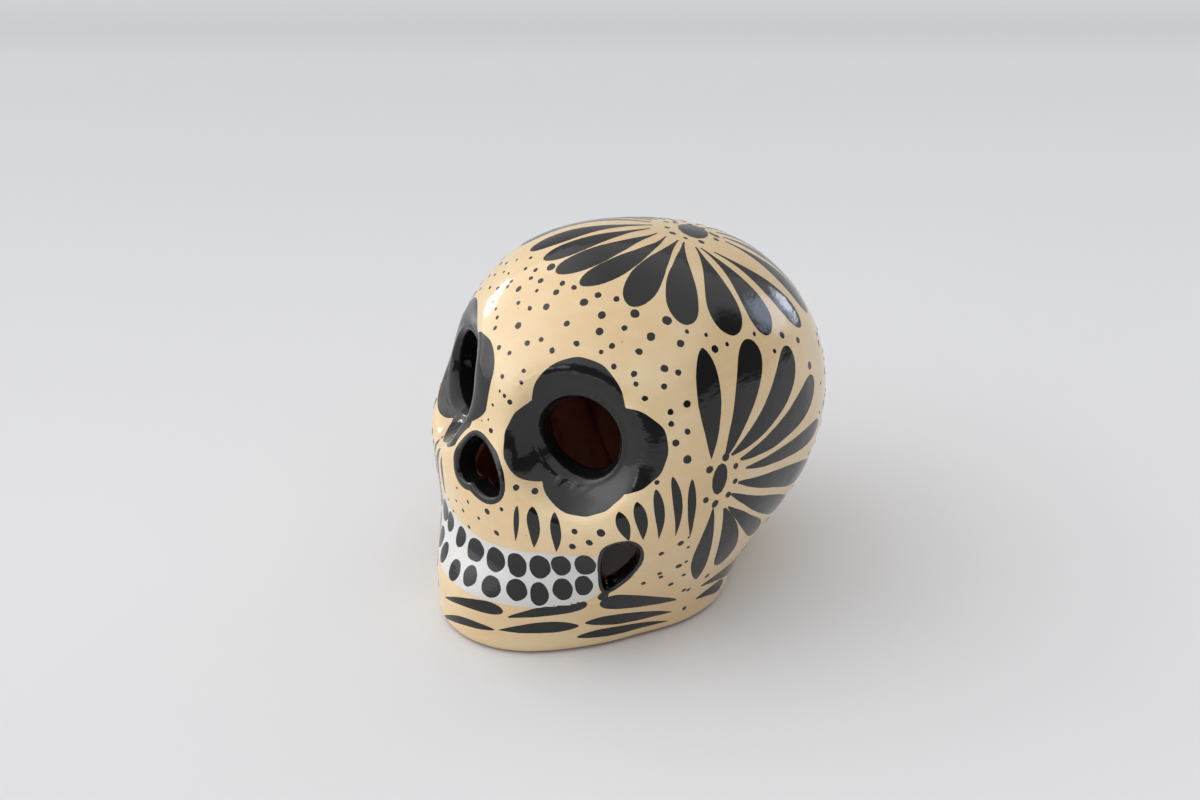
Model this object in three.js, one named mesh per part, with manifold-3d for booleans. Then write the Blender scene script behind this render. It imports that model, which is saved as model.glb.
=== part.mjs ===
import * as THREE from 'three';
import { mergeVertices } from 'three/addons/utils/BufferGeometryUtils.js';
import Module from 'manifold-3d';

// A hollow fired-clay sugar skull with flowers of black slip on a cream ground.
// Lengths are millimetres. The face looks along -Y, the skull's own left is +X, and it stands on Z = 0.

const wasm = await Module();
wasm.setup();

// Clay wall, and the slip that joins it and is laid on it
const wall = 5;
const joint = 0.3;
const slip = 0.4;
const footRound = 2.5;
const overrun = 10;

// Rounded volumes that melt into one another, with their places and half sizes
const cranium = { y: -5, z: 41, halfWidth: 39, halfLength: 46.5, halfHeight: 40.5 };
const forehead = { y: -16.5, z: 45, halfWidth: 34.8, halfLength: 23.5, halfHeight: 36 };
const face = { y: -19.2, z: 26.5, halfWidth: 32.5, halfLength: 32, halfHeight: 40.5 };
const cheek = { x: 23.7, y: -25.6, z: 35, halfWidth: 12, halfLength: 15, halfHeight: 11 };
const jaw = { halfWidth: 26, front: -59.2, back: 18, top: 18.5, power: 2.05 };
const neck = { halfWidth: 29, front: -30, back: 2, top: 11, power: 2.6 };
const columnTopRound = 10;
const headBlend = 14;
const jawBlend = 9;
const neckBlend = 7;
const cheekBlend = 8;

// Shallow bowl round each eye: part of an ellipsoid pressed in along the eye's own direction
const socket = { x: 19, y: -39.6, z: 52.7, radius: 14, depth: 4.2, lip: 6, blend: 6 };
const eyeTurn = 23;
const eyeTilt = 4;

// Cut openings: the eye holes and their four-lobed flowers, the nose, and the slots behind the teeth
const eyeHole = { across: -0.8, up: -1.6, radius: 9.9 };
const eyeLobe = { offset: 8.9, radius: 9.3 };
const nose = { x: 1.5, z: 43.4, width: 14.5, height: 14.2, rim: 1.5 };
const slot = { z: 25.6, width: 9.4, height: 15.6, rim: 0.7 };
const slotTurn = 49.5;

// Outlines in shares of half their width and height: each Bezier curve has two handles and its end.
// The nose is an upside-down heart, and a slot has a flat round top and a point beside the last tooth
const noseOutlineShares = [
  [0.22, -0.95, 0.5, -1.1, 0.78, -0.92],
  [1.06, -0.72, 1.06, -0.3, 0.92, 0.05],
  [0.78, 0.42, 0.42, 1, 0, 1],
  [-0.42, 1, -0.78, 0.42, -0.92, 0.05],
  [-1.06, -0.3, -1.06, -0.72, -0.78, -0.92],
  [-0.5, -1.1, -0.22, -0.95, 0, -0.7],
];
const slotOutlineShares = [
  [-0.4, -1.02, 0.8, -0.35, 0.95, 0.35],
  [1.05, 0.75, 0.8, 1, 0.3, 1],
  [-0.2, 1, -0.7, 0.9, -0.86, 0.6],
  [-1.05, 0.2, -1.05, -0.8, -0.75, -1],
];

// Coil of clay that is pressed over the seam inside, where the two pressed halves meet
const seamY = 0;
const coil = { width: 9, thickness: 3, footClearance: 3 };
const coilEdgeShare = 0.2;

// Band of white slip for the teeth: heights at the middle of the mouth and at its corners, where
// a high power keeps the rise of its lower edge to the last tooth
const teeth = { bottom: 13.5, top: 25.2, cornerBottom: 17.6, cornerTop: 28.6 };
const cornerPower = 8;

// Flowers of black slip on the crown and on each temple. Degrees run from the face towards the
// skull's left on the crown, and from straight up towards the back on a temple
const crown = { x: 3, y: 6.5, centreRadius: 3.7, rootRadius: 10.4, tipRadius: 35, petalWidth: 7.3 };
const crownDegrees = [
  -49, -30, -16, -5, 9, 30, 50, 73, 98, 126,
  143, 160, 176.5, 193.5, 210, 227, 244, 261, 277.5, 294.5,
];
const crownReachShares = [
  1.12, 1.05, 1.03, 1.06, 1.05, 1.02, 1, 0.96, 0.92, 0.93,
  0.95, 0.97, 0.98, 0.98, 0.98, 0.97, 0.97, 0.98, 1, 1.04,
];
const crownWidthShares = [
  0.95, 0.8, 0.62, 0.62, 0.8, 1.08, 1.05, 1.1, 1.12, 1.05,
  0.92, 0.9, 0.9, 0.9, 0.9, 0.9, 0.9, 0.9, 0.9, 0.92,
];
const temple = { y: -18.9, z: 44, centreLength: 7, centreWidth: 3.4, rootRadius: 6.8, petalWidth: 6.2 };
const templeRootDegrees = [-21, 8, 33, 62, 86, 110, 132, 152, 176, 201];
const templeTipDegrees = [2, 31, 54, 75, 94, 112, 130, 148, 167, 184];
// A crown flower and a temple flower share the span between their centres. Their full reach laps,
// because the petals that face each other are short
const flowerLap = 8.2;
const templeReachShares = [0.74, 0.81, 0.92, 1, 1.03, 1.03, 0.98, 0.86, 0.76, 0.79];
const petalStationShares = [0, 0.22, 0.48, 0.74, 0.92, 1];
const petalWidthShares = [0.16, 0.42, 0.78, 1, 0.76, 0.3];
const petalSideShares = [-1, 0, 1];

// Fineness of the meshes
const outerMesh = { faceColumns: 44, backColumns: 26, wallRows: 9, browRows: 11, crownRows: 6 };
const innerMesh = { faceColumns: 26, backColumns: 18, wallRows: 5, browRows: 5, crownRows: 4 };
const footRoundShares = [0, 0.15, 0.5, 1];
const holeSegments = 11;
const outlineSegments = 4;
const centreSegments = 12;
const bandColumns = 18;
const bandRows = 4;
const coilColumns = 5;
const coilArchSteps = 16;
const coilLegShares = [0, 0.25, 0.5, 0.75];
const halvings = 36;

const creamGlaze = new THREE.MeshStandardMaterial({ color: 0xe3c595, roughness: 0.22, metalness: 0 });
const blackSlip = new THREE.MeshStandardMaterial({ color: 0x27272a, roughness: 0.2, metalness: 0 });
const whiteSlip = new THREE.MeshStandardMaterial({ color: 0xe6e4e0, roughness: 0.25, metalness: 0 });
const bareClay = new THREE.MeshStandardMaterial({ color: 0x8a4a30, roughness: 0.85, metalness: 0 });

// The form of the skull as one field: negative in the clay, zero on its face, positive outside

function melt(a, b, reach) {
  const share = Math.min(Math.max(0.5 + (0.5 * (b - a)) / reach, 0), 1);
  return b * (1 - share) + a * share - reach * share * (1 - share);
}

function ellipsoidField(x, y, z, halfX, halfY, halfZ) {
  const near = Math.hypot(x / halfX, y / halfY, z / halfZ);
  const steep = Math.hypot(x / halfX ** 2, y / halfY ** 2, z / halfZ ** 2);
  return near === 0 ? -Math.min(halfX, halfY, halfZ) : (near * (near - 1)) / steep;
}

function volumeField(x, y, z, form) {
  return ellipsoidField(x, y - form.y, z - form.z, form.halfWidth, form.halfLength, form.halfHeight);
}

// A column of superellipse plan: its slope turns the ratio to the outline into a distance from it
function columnField(x, y, z, form) {
  const { halfWidth, front, back, top, power } = form;
  const halfLength = (back - front) / 2;
  const across = Math.abs(x) / halfWidth;
  const along = Math.abs(y - (front + back) / 2) / halfLength;
  const around = (across ** power + along ** power) ** (1 / power);
  if (around === 0) return -melt(halfWidth, top - z, columnTopRound);
  const slopeX = (across / around) ** (power - 1) / halfWidth;
  const slopeY = (along / around) ** (power - 1) / halfLength;
  return -melt((1 - around) / Math.hypot(slopeX, slopeY), top - z, columnTopRound);
}

// The left eye looks out and a little up; the right eye is its mirror image
const turn = THREE.MathUtils.degToRad(eyeTurn);
const tilt = THREE.MathUtils.degToRad(eyeTilt);
const eyeOut = new THREE.Vector3(Math.sin(turn), -Math.cos(turn), Math.tan(tilt)).normalize();
const eyeAcross = new THREE.Vector3(Math.cos(turn), Math.sin(turn), 0);
const eyeUp = new THREE.Vector3().crossVectors(eyeOut, eyeAcross);

function socketField(x, y, z) {
  const [dx, dy, dz] = [x - socket.x, y - socket.y, z - socket.z];
  const across = dx * eyeAcross.x + dy * eyeAcross.y + dz * eyeAcross.z;
  const up = dx * eyeUp.x + dy * eyeUp.y + dz * eyeUp.z;
  const out = dx * eyeOut.x + dy * eyeOut.y + dz * eyeOut.z;
  const { radius, depth, lip } = socket;
  return ellipsoidField(across, up, out - lip, radius, radius, depth + lip);
}

function bodyField(x, y, z) {
  const half = Math.abs(x);
  let value = melt(volumeField(x, y, z, cranium), volumeField(x, y, z, forehead), headBlend);
  value = melt(value, volumeField(x, y, z, face), headBlend);
  value = melt(value, columnField(x, y, z, jaw), jawBlend);
  value = melt(value, columnField(x, y, z, neck), neckBlend);
  value = melt(value, volumeField(half - cheek.x, y, z, cheek), cheekBlend);
  return -melt(-value, socketField(half, y, z), socket.blend);
}

// The outside also rounds in to the foot
function outerField(x, y, z) {
  const low = Math.min(Math.max((footRound - z) / footRound, 0), 1);
  return bodyField(x, y, z) + footRound * (1 - Math.sqrt(1 - low * low));
}

// Points of the form lie on rays from its middle line. A depth says how far inside the face they are

const middle = new THREE.Vector3(0, (cranium.y + face.y) / 2, (cranium.z + cheek.z) / 2);
const farSide = 2 * cranium.halfLength;

function cast(ray, depth, field = bodyField) {
  const { from, along } = ray;
  let near = 0;
  let far = farSide;
  for (let step = 0; step < halvings; step++) {
    const length = (near + far) / 2;
    const value = field(from.x + along.x * length, from.y + along.y * length, from.z + along.z * length);
    if (value < -depth) near = length;
    else far = length;
  }
  return along.clone().multiplyScalar(far).add(from);
}

function rayFrom(x, y, z, along) {
  return { from: new THREE.Vector3(x, y, z), along };
}

function levelRay(azimuth, z) {
  return rayFrom(0, middle.y, z, new THREE.Vector3(Math.sin(azimuth), -Math.cos(azimuth), 0));
}

function domeRay(azimuth, elevation) {
  const flat = Math.cos(elevation);
  const along = new THREE.Vector3(Math.sin(azimuth) * flat, -Math.cos(azimuth) * flat, Math.sin(elevation));
  return { from: middle, along };
}

// Solids from triangles, and the joins and cuts between them

function solidFrom(positions, triangles) {
  let volume = 0;
  for (const [a, b, c] of triangles) {
    volume += positions[a].dot(new THREE.Vector3().crossVectors(positions[b], positions[c]));
  }
  const turned = volume < 0 ? triangles.map(([a, b, c]) => [a, c, b]) : triangles;
  const vertProperties = new Float32Array(positions.flatMap((point) => point.toArray()));
  const triVerts = new Uint32Array(turned.flat());
  return new wasm.Manifold(new wasm.Mesh({ numProp: 3, vertProperties, triVerts }));
}

function solidOf(geometry) {
  geometry.deleteAttribute('normal');
  geometry.deleteAttribute('uv');
  const merged = mergeVertices(geometry);
  const vertProperties = new Float32Array(merged.attributes.position.array);
  const triVerts = new Uint32Array(merged.index.array);
  return new wasm.Manifold(new wasm.Mesh({ numProp: 3, vertProperties, triVerts }));
}

function pointsOf(mesh) {
  const points = [];
  for (let i = 0; i < mesh.vertProperties.length; i += mesh.numProp) {
    points.push(new THREE.Vector3(...mesh.vertProperties.slice(i, i + 3)));
  }
  return points;
}

function mirrored(solid) {
  const mesh = solid.getMesh();
  const points = pointsOf(mesh).map((point) => point.setX(-point.x));
  const triangles = [];
  for (let i = 0; i < mesh.triVerts.length; i += 3) triangles.push([...mesh.triVerts.slice(i, i + 3)]);
  return solidFrom(points, triangles);
}

function joined(solids) {
  return solids.reduce((whole, solid) => whole.add(solid));
}

function block(lowX, lowY, lowZ, highX, highY, highZ) {
  const geometry = new THREE.BoxGeometry(highX - lowX, highY - lowY, highZ - lowZ);
  geometry.translate((lowX + highX) / 2, (lowY + highY) / 2, (lowZ + highZ) / 2);
  return solidOf(geometry);
}

// The whole form as a closed lump with its face set in by a depth, running on below the floor
function lump(depth, field, mesh, lowShares) {
  const azimuths = [];
  for (let i = 0; i < mesh.faceColumns; i++) azimuths.push(Math.PI * (i / mesh.faceColumns - 0.5));
  for (let i = 0; i < mesh.backColumns; i++) azimuths.push(Math.PI * (i / mesh.backColumns + 0.5));
  const heights = [-overrun, ...lowShares.map((share) => share * footRound)];
  const lowest = heights[heights.length - 1];
  for (let i = 1; i <= mesh.wallRows; i++) heights.push(lowest + ((middle.z - lowest) * i) / mesh.wallRows);
  const rings = heights.map((z) => azimuths.map((azimuth) => levelRay(azimuth, z)));
  // Rings lie closer below the brow than over the crown
  const elevations = [];
  for (let i = 1; i <= mesh.browRows; i++) elevations.push((Math.PI / 4) * (i / mesh.browRows));
  for (let i = 1; i < mesh.crownRows; i++) elevations.push((Math.PI / 4) * (1 + i / mesh.crownRows));
  elevations.forEach((elevation) => rings.push(azimuths.map((azimuth) => domeRay(azimuth, elevation))));
  const count = azimuths.length;
  const positions = rings.flat().map((ray) => cast(ray, depth, field));
  const top = positions.push(cast(domeRay(0, Math.PI / 2), depth, field)) - 1;
  const bottom = positions.push(new THREE.Vector3(0, middle.y, -overrun)) - 1;
  const triangles = [];
  for (let i = 0; i < count; i++) {
    const next = (i + 1) % count;
    // The diagonals lean the same way on both sides of the face
    const leftSide = Math.sin(azimuths[i] + Math.PI / count) > 0;
    for (let ring = 0; ring + 1 < rings.length; ring++) {
      const [a, b] = [ring * count + i, ring * count + next];
      if (leftSide) triangles.push([a, b, b + count], [a, b + count, a + count]);
      else triangles.push([a, b, a + count], [b, b + count, a + count]);
    }
    const last = (rings.length - 1) * count;
    triangles.push([last + i, last + next, top], [next, i, bottom]);
  }
  return solidFrom(positions, triangles);
}

// A thin solid that lies along the form: flat triangles whose points are rays, between two depths
function draped(rays, triangles, outerDepth, innerDepthOf) {
  const count = rays.length;
  const outer = rays.map((ray) => cast(ray, outerDepth));
  const inner = rays.map((ray, index) => cast(ray, innerDepthOf(index)));
  const edges = new Set(triangles.flatMap(([a, b, c]) => [`${a} ${b}`, `${b} ${c}`, `${c} ${a}`]));
  const faces = triangles.flatMap(([a, b, c]) => [[a, b, c], [c + count, b + count, a + count]]);
  for (const edge of edges) {
    const [a, b] = edge.split(' ').map(Number);
    if (!edges.has(`${b} ${a}`)) faces.push([b, a, a + count], [b, a + count, b + count]);
  }
  return solidFrom([...outer, ...inner], faces);
}

function slipOver(rays, triangles) {
  return draped(rays, triangles, -joint - slip, () => -joint);
}

function gridTriangles(rows, columns) {
  const triangles = [];
  for (let row = 0; row + 1 < rows; row++) {
    for (let column = 0; column + 1 < columns; column++) {
      const a = row * columns + column;
      triangles.push([a, a + 1, a + columns + 1], [a, a + columns + 1, a + columns]);
    }
  }
  return triangles;
}

// Lumps that the pieces are cut from: the clay, its hollow, and the slip on top of it

const aboveFloor = block(-farSide, -farSide, 0, farSide, farSide, farSide);
const clayLump = lump(0, outerField, outerMesh, footRoundShares);
const underSlip = lump(-joint, outerField, outerMesh, footRoundShares);
const overSlip = lump(-joint - slip, outerField, outerMesh, footRoundShares);
const hollow = lump(wall, bodyField, innerMesh, [1]);

// An opening's seat has its point on the face, and turns a flat outline to look out through the wall

function seatAt(point, out, across) {
  const up = new THREE.Vector3().crossVectors(out, across);
  return new THREE.Matrix4().makeBasis(across, up, out).setPosition(point);
}

function prism(shape, seat, curveSegments) {
  const inward = wall + socket.depth + overrun;
  const settings = { depth: inward + overrun, bevelEnabled: false, curveSegments };
  const geometry = new THREE.ExtrudeGeometry(shape, settings);
  geometry.translate(0, 0, -inward);
  return solidOf(geometry.applyMatrix4(seat));
}

// A cut opening and the black slip that lines it and lies as a rim round it
function linedOpening(outlineOf, rim, seat, curveSegments) {
  const cutter = prism(outlineOf(0), seat, curveSegments);
  const throat = prism(outlineOf(-joint), seat, curveSegments).intersect(overSlip.subtract(hollow));
  const bore = prism(outlineOf(-joint - slip), seat, curveSegments);
  const lining = rim.intersect(overSlip.subtract(underSlip)).add(throat).subtract(bore);
  return { cutter, lining };
}

function circle(x, y, radius) {
  return new THREE.Shape().absarc(x, y, radius, 0, 2 * Math.PI);
}

function eyeOpening() {
  const point = new THREE.Vector3(socket.x, socket.y, socket.z);
  point.addScaledVector(eyeAcross, eyeHole.across).addScaledVector(eyeUp, eyeHole.up);
  const seat = seatAt(point, eyeOut, eyeAcross);
  const lobes = [[1, 0], [0, 1], [-1, 0], [0, -1]].map(([x, y]) =>
    prism(circle(x * eyeLobe.offset, y * eyeLobe.offset, eyeLobe.radius), seat, holeSegments));
  return linedOpening((grow) => circle(0, 0, eyeHole.radius + grow), joined(lobes), seat, holeSegments);
}

function outlineFrom(shares, size, grow) {
  const [w, h] = [size.width / 2 + grow, size.height / 2 + grow];
  const [startX, startY] = shares.at(-1).slice(-2);
  const shape = new THREE.Shape().moveTo(startX * w, startY * h);
  for (const [ax, ay, bx, by, x, y] of shares) {
    shape.bezierCurveTo(ax * w, ay * h, bx * w, by * h, x * w, y * h);
  }
  return shape;
}

const noseOutline = (grow) => outlineFrom(noseOutlineShares, nose, grow);
const slotOutline = (grow) => outlineFrom(slotOutlineShares, slot, grow);

const noseSeat = seatAt(
  cast(rayFrom(nose.x, middle.y, nose.z, new THREE.Vector3(0, -1, 0)), 0),
  new THREE.Vector3(0, -1, 0),
  new THREE.Vector3(1, 0, 0),
);

const slotAzimuth = THREE.MathUtils.degToRad(slotTurn);
const slotPoint = cast(levelRay(slotAzimuth, slot.z), 0);
const slotSeat = seatAt(
  slotPoint,
  new THREE.Vector3(Math.sin(slotAzimuth), -Math.cos(slotAzimuth), 0),
  new THREE.Vector3(Math.cos(slotAzimuth), Math.sin(slotAzimuth), 0),
);

const eye = eyeOpening();
const noseRim = prism(noseOutline(nose.rim), noseSeat, outlineSegments);
const noseOpening = linedOpening(noseOutline, noseRim, noseSeat, outlineSegments);
const slotRim = prism(slotOutline(slot.rim), slotSeat, outlineSegments);
const jawSlot = linedOpening(slotOutline, slotRim, slotSeat, outlineSegments);
const noseRoom = prism(noseOutline(nose.rim + 2 * joint), noseSeat, outlineSegments);

// The clay itself: one pressed shell, parted at the seam

const sideCuts = joined([eye.cutter, jawSlot.cutter]);
const cuts = joined([sideCuts, mirrored(sideCuts), noseOpening.cutter]);
const shell = clayLump.intersect(aboveFloor).subtract(hollow).subtract(cuts);
const frontRoom = block(-farSide, -farSide, -overrun, farSide, seamY - joint / 2, farSide);
const backRoom = block(-farSide, seamY + joint / 2, -overrun, farSide, farSide, farSide);

// The coil follows the seam inside, from just above the floor over the crown and down again
function seamCoil() {
  const legs = coilLegShares.map((share) => coil.footClearance + (middle.z - coil.footClearance) * share);
  const arch = legs.map((z) => [z, 0]);
  for (let i = 0; i <= coilArchSteps; i++) arch.push([middle.z, (Math.PI * i) / coilArchSteps]);
  arch.push(...legs.reverse().map((z) => [z, Math.PI]));
  const rays = [];
  const depths = [];
  for (const [z, elevation] of arch) {
    const along = new THREE.Vector3(Math.cos(elevation), 0, Math.sin(elevation));
    for (let i = 0; i < coilColumns; i++) {
      const share = (2 * i) / (coilColumns - 1) - 1;
      rays.push(rayFrom(0, seamY + (share * coil.width) / 2, z, along));
      depths.push(coil.thickness * Math.max(Math.sqrt(1 - share * share), coilEdgeShare));
    }
  }
  const triangles = gridTriangles(arch.length, coilColumns);
  return draped(rays, triangles, wall + joint, (index) => wall + joint + depths[index]);
}

// The white band runs from slot to slot and stops short of their rims
function toothBand() {
  const radius = Math.hypot(slotPoint.x, slotPoint.y - middle.y);
  const end = slotAzimuth - Math.asin((slot.width / 2 + slot.rim + 2 * joint) / radius);
  const rays = [];
  for (let row = 0; row < bandRows; row++) {
    for (let column = 0; column < bandColumns; column++) {
      const share = (2 * column) / (bandColumns - 1) - 1;
      const top = teeth.top + (teeth.cornerTop - teeth.top) * (1 - Math.cos(share * Math.PI)) / 2;
      const bottom = teeth.bottom + (teeth.cornerBottom - teeth.bottom) * share ** cornerPower;
      rays.push(levelRay(end * share, bottom + ((top - bottom) * row) / (bandRows - 1)));
    }
  }
  return slipOver(rays, gridTriangles(bandRows, bandColumns));
}

// A flower is drawn on a flat chart round its centre: lengths along the face, turned about that point

function flowerChart(centre, ahead, sideways) {
  const axis = new THREE.Vector3().subVectors(centre, middle);
  const radius = axis.length();
  axis.divideScalar(radius);
  const forward = ahead.clone().addScaledVector(axis, -ahead.dot(axis)).normalize();
  const across = sideways.clone().addScaledVector(axis, -sideways.dot(axis));
  across.addScaledVector(forward, -across.dot(forward)).normalize();
  return (x, y) => {
    const angle = Math.hypot(x, y) / radius;
    const heading = Math.atan2(x, y);
    const along = axis.clone().multiplyScalar(Math.cos(angle));
    along.addScaledVector(forward, Math.sin(angle) * Math.cos(heading));
    along.addScaledVector(across, Math.sin(angle) * Math.sin(heading));
    return { from: middle, along };
  };
}

function petal(chart, rootLength, rootDegrees, tipLength, tipDegrees, width) {
  const [rootTurn, tipTurn] = [THREE.MathUtils.degToRad(rootDegrees), THREE.MathUtils.degToRad(tipDegrees)];
  const root = new THREE.Vector2(Math.sin(rootTurn), Math.cos(rootTurn)).multiplyScalar(rootLength);
  const tip = new THREE.Vector2(Math.sin(tipTurn), Math.cos(tipTurn)).multiplyScalar(tipLength);
  const beside = new THREE.Vector2(tip.y - root.y, root.x - tip.x).normalize();
  const rays = [];
  petalStationShares.forEach((station, index) => {
    for (const side of petalSideShares) {
      const offset = (side * width * petalWidthShares[index]) / 2;
      const point = root.clone().lerp(tip, station).addScaledVector(beside, offset);
      rays.push(chart(point.x, point.y));
    }
  });
  return slipOver(rays, gridTriangles(petalStationShares.length, petalSideShares.length));
}

function flowerCentre(chart, halfWidth, halfLength) {
  const rays = [chart(0, 0)];
  const triangles = [];
  for (let i = 0; i < centreSegments; i++) {
    const angle = (2 * Math.PI * i) / centreSegments;
    rays.push(chart(halfWidth * Math.cos(angle), halfLength * Math.sin(angle)));
    triangles.push([0, 1 + i, 1 + ((i + 1) % centreSegments)]);
  }
  return slipOver(rays, triangles);
}

const forwards = new THREE.Vector3(0, -1, 0);
const upwards = new THREE.Vector3(0, 0, 1);
const leftwards = new THREE.Vector3(1, 0, 0);
const backwards = new THREE.Vector3(0, 1, 0);
const crownPoint = cast(rayFrom(crown.x, crown.y, middle.z, upwards), 0);
const templePoint = cast(rayFrom(0, temple.y, temple.z, leftwards), 0);
const crownChart = flowerChart(crownPoint, forwards, leftwards);
const templeChart = flowerChart(templePoint, upwards, backwards);
const crownArm = crownPoint.clone().sub(middle);
const templeArm = templePoint.clone().sub(middle);
const span = (crownArm.angleTo(templeArm) * (crownArm.length() + templeArm.length())) / 2;
const templeTipRadius = span - crown.tipRadius + flowerLap;

// The part

const group = new THREE.Group();

function place(name, solid, material) {
  const mesh = solid.getMesh();
  const geometry = new THREE.BufferGeometry();
  geometry.setAttribute('position', new THREE.Float32BufferAttribute(mesh.vertProperties, mesh.numProp));
  geometry.setIndex([...mesh.triVerts]);
  const piece = new THREE.Mesh(geometry, material);
  piece.name = name;
  group.add(piece);
}

place('face_shell', shell.intersect(frontRoom), creamGlaze);
place('cranium_shell', shell.intersect(backRoom), creamGlaze);
place('seam_coil', seamCoil(), bareClay);
place('tooth_band', toothBand(), whiteSlip);
place('nose_rim', noseOpening.lining, blackSlip);

const eyeFlower = eye.lining.subtract(noseRoom);
const rightEyeFlower = mirrored(eye.lining).subtract(noseRoom);
place('eye_flower_left', eyeFlower, blackSlip);
place('eye_flower_right', rightEyeFlower, blackSlip);
place('jaw_slot_rim_left', jawSlot.lining, blackSlip);
place('jaw_slot_rim_right', mirrored(jawSlot.lining), blackSlip);

place('crown_flower_centre', flowerCentre(crownChart, crown.centreRadius, crown.centreRadius), blackSlip);
crownDegrees.forEach((degrees, index) => {
  const width = crown.petalWidth * crownWidthShares[index];
  const reach = crown.tipRadius * crownReachShares[index];
  const name = `crown_petal_${String(index + 1).padStart(2, '0')}`;
  place(name, petal(crownChart, crown.rootRadius, degrees, reach, degrees, width), blackSlip);
});

const templeCentre = flowerCentre(templeChart, temple.centreWidth / 2, temple.centreLength / 2);
const templePetals = templeReachShares.map((share, index) => {
  const [rootTurn, tipTurn] = [templeRootDegrees[index], templeTipDegrees[index]];
  const { rootRadius, petalWidth } = temple;
  return petal(templeChart, rootRadius, rootTurn, templeTipRadius * share, tipTurn, petalWidth);
});
for (const [side, turned] of [['left', (solid) => solid], ['right', mirrored]]) {
  place(`temple_flower_centre_${side}`, turned(templeCentre), blackSlip);
  templePetals.forEach((solid, index) => {
    place(`temple_petal_${side}_${String(index + 1).padStart(2, '0')}`, turned(solid), blackSlip);
  });
}

// The origin is under the middle of the skull, on the floor
const extent = new THREE.Box3().setFromObject(group);
group.position.set(-(extent.min.x + extent.max.x) / 2, -(extent.min.y + extent.max.y) / 2, 0);

export default group;
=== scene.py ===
"""A hollow sugar skull of glazed clay, painted with flowers, teeth, strokes and dots of slip."""

import math

import bpy
import numpy as np
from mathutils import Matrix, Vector


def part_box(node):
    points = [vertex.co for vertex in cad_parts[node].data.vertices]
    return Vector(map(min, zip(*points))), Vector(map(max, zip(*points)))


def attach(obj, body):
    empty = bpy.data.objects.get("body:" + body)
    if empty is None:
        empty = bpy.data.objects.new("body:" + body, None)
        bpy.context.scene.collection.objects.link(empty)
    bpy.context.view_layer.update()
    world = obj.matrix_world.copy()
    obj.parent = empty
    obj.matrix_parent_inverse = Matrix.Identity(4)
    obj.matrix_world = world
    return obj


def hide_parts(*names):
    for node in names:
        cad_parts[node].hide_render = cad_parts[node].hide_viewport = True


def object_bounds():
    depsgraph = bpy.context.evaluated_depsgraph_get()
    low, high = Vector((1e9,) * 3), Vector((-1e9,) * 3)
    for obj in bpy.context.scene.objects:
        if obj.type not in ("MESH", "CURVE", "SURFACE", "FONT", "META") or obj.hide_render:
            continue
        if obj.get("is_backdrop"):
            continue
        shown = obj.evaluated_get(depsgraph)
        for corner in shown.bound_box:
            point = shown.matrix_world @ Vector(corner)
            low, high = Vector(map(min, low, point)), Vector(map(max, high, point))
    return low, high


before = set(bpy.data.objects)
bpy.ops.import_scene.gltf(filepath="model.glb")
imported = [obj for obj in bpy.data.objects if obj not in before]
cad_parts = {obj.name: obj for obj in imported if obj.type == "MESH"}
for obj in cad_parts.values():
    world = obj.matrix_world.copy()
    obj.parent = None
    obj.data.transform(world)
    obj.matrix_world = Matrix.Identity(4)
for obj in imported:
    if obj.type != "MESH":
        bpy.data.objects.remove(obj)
CAD_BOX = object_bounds()

# Sizes are in millimetres, as in the part's own source, and become metres where a mesh is made
MM = 0.001
TINY = 1e-9

# The clay: its wall, and the rounded volumes that melt into one another
WALL = 5.0
FOOT_ROUND = 2.5
CRANIUM = {"centre": (0.0, -5.0, 41.0), "half": (39.0, 46.5, 40.5)}
FOREHEAD = {"centre": (0.0, -16.5, 45.0), "half": (34.8, 23.5, 36.0)}
FACE = {"centre": (0.0, -19.2, 26.5), "half": (32.5, 32.0, 40.5)}
CHEEK = {"centre": (23.7, -25.6, 35.0), "half": (12.0, 15.0, 11.0)}
JAW = {"half_width": 26.0, "front": -59.2, "back": 18.0, "top": 18.5, "squareness": 2.05}
NECK = {"half_width": 29.0, "front": -30.0, "back": 2.0, "top": 11.0, "squareness": 2.6}
COLUMN_TOP_ROUND = 10.0
BRIDGE_DIP = {"centre": (0.0, -55.8, 56.5), "half": (11.0, 6.2, 10.5)}
HEAD_BLEND, JAW_BLEND, NECK_BLEND, CHEEK_BLEND, BRIDGE_BLEND = 14.0, 9.0, 7.0, 8.0, 6.0
MIDDLE = np.array([0.0, (CRANIUM["centre"][1] + FACE["centre"][1]) / 2, 38.0])

# The eyes: a bowl round each, and the hole through it, which was cut by hand and so differs a little
SOCKET = {"at": (19.0, -39.6, 52.7), "radius": 14.0, "depth": 4.2, "lip": 6.0, "blend": 6.0}
EYE_TURN, EYE_TILT = math.radians(23), math.radians(4)
LEFT_EYE_HOLE = {"across": -0.4, "up": -0.8, "radius": 8.5}
RIGHT_EYE_HOLE = {"across": 2.9, "up": -1.7, "radius": 8.6}
# How much wider each hole gets for each millimetre inwards
HOLE_FLARE = 0.3

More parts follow.
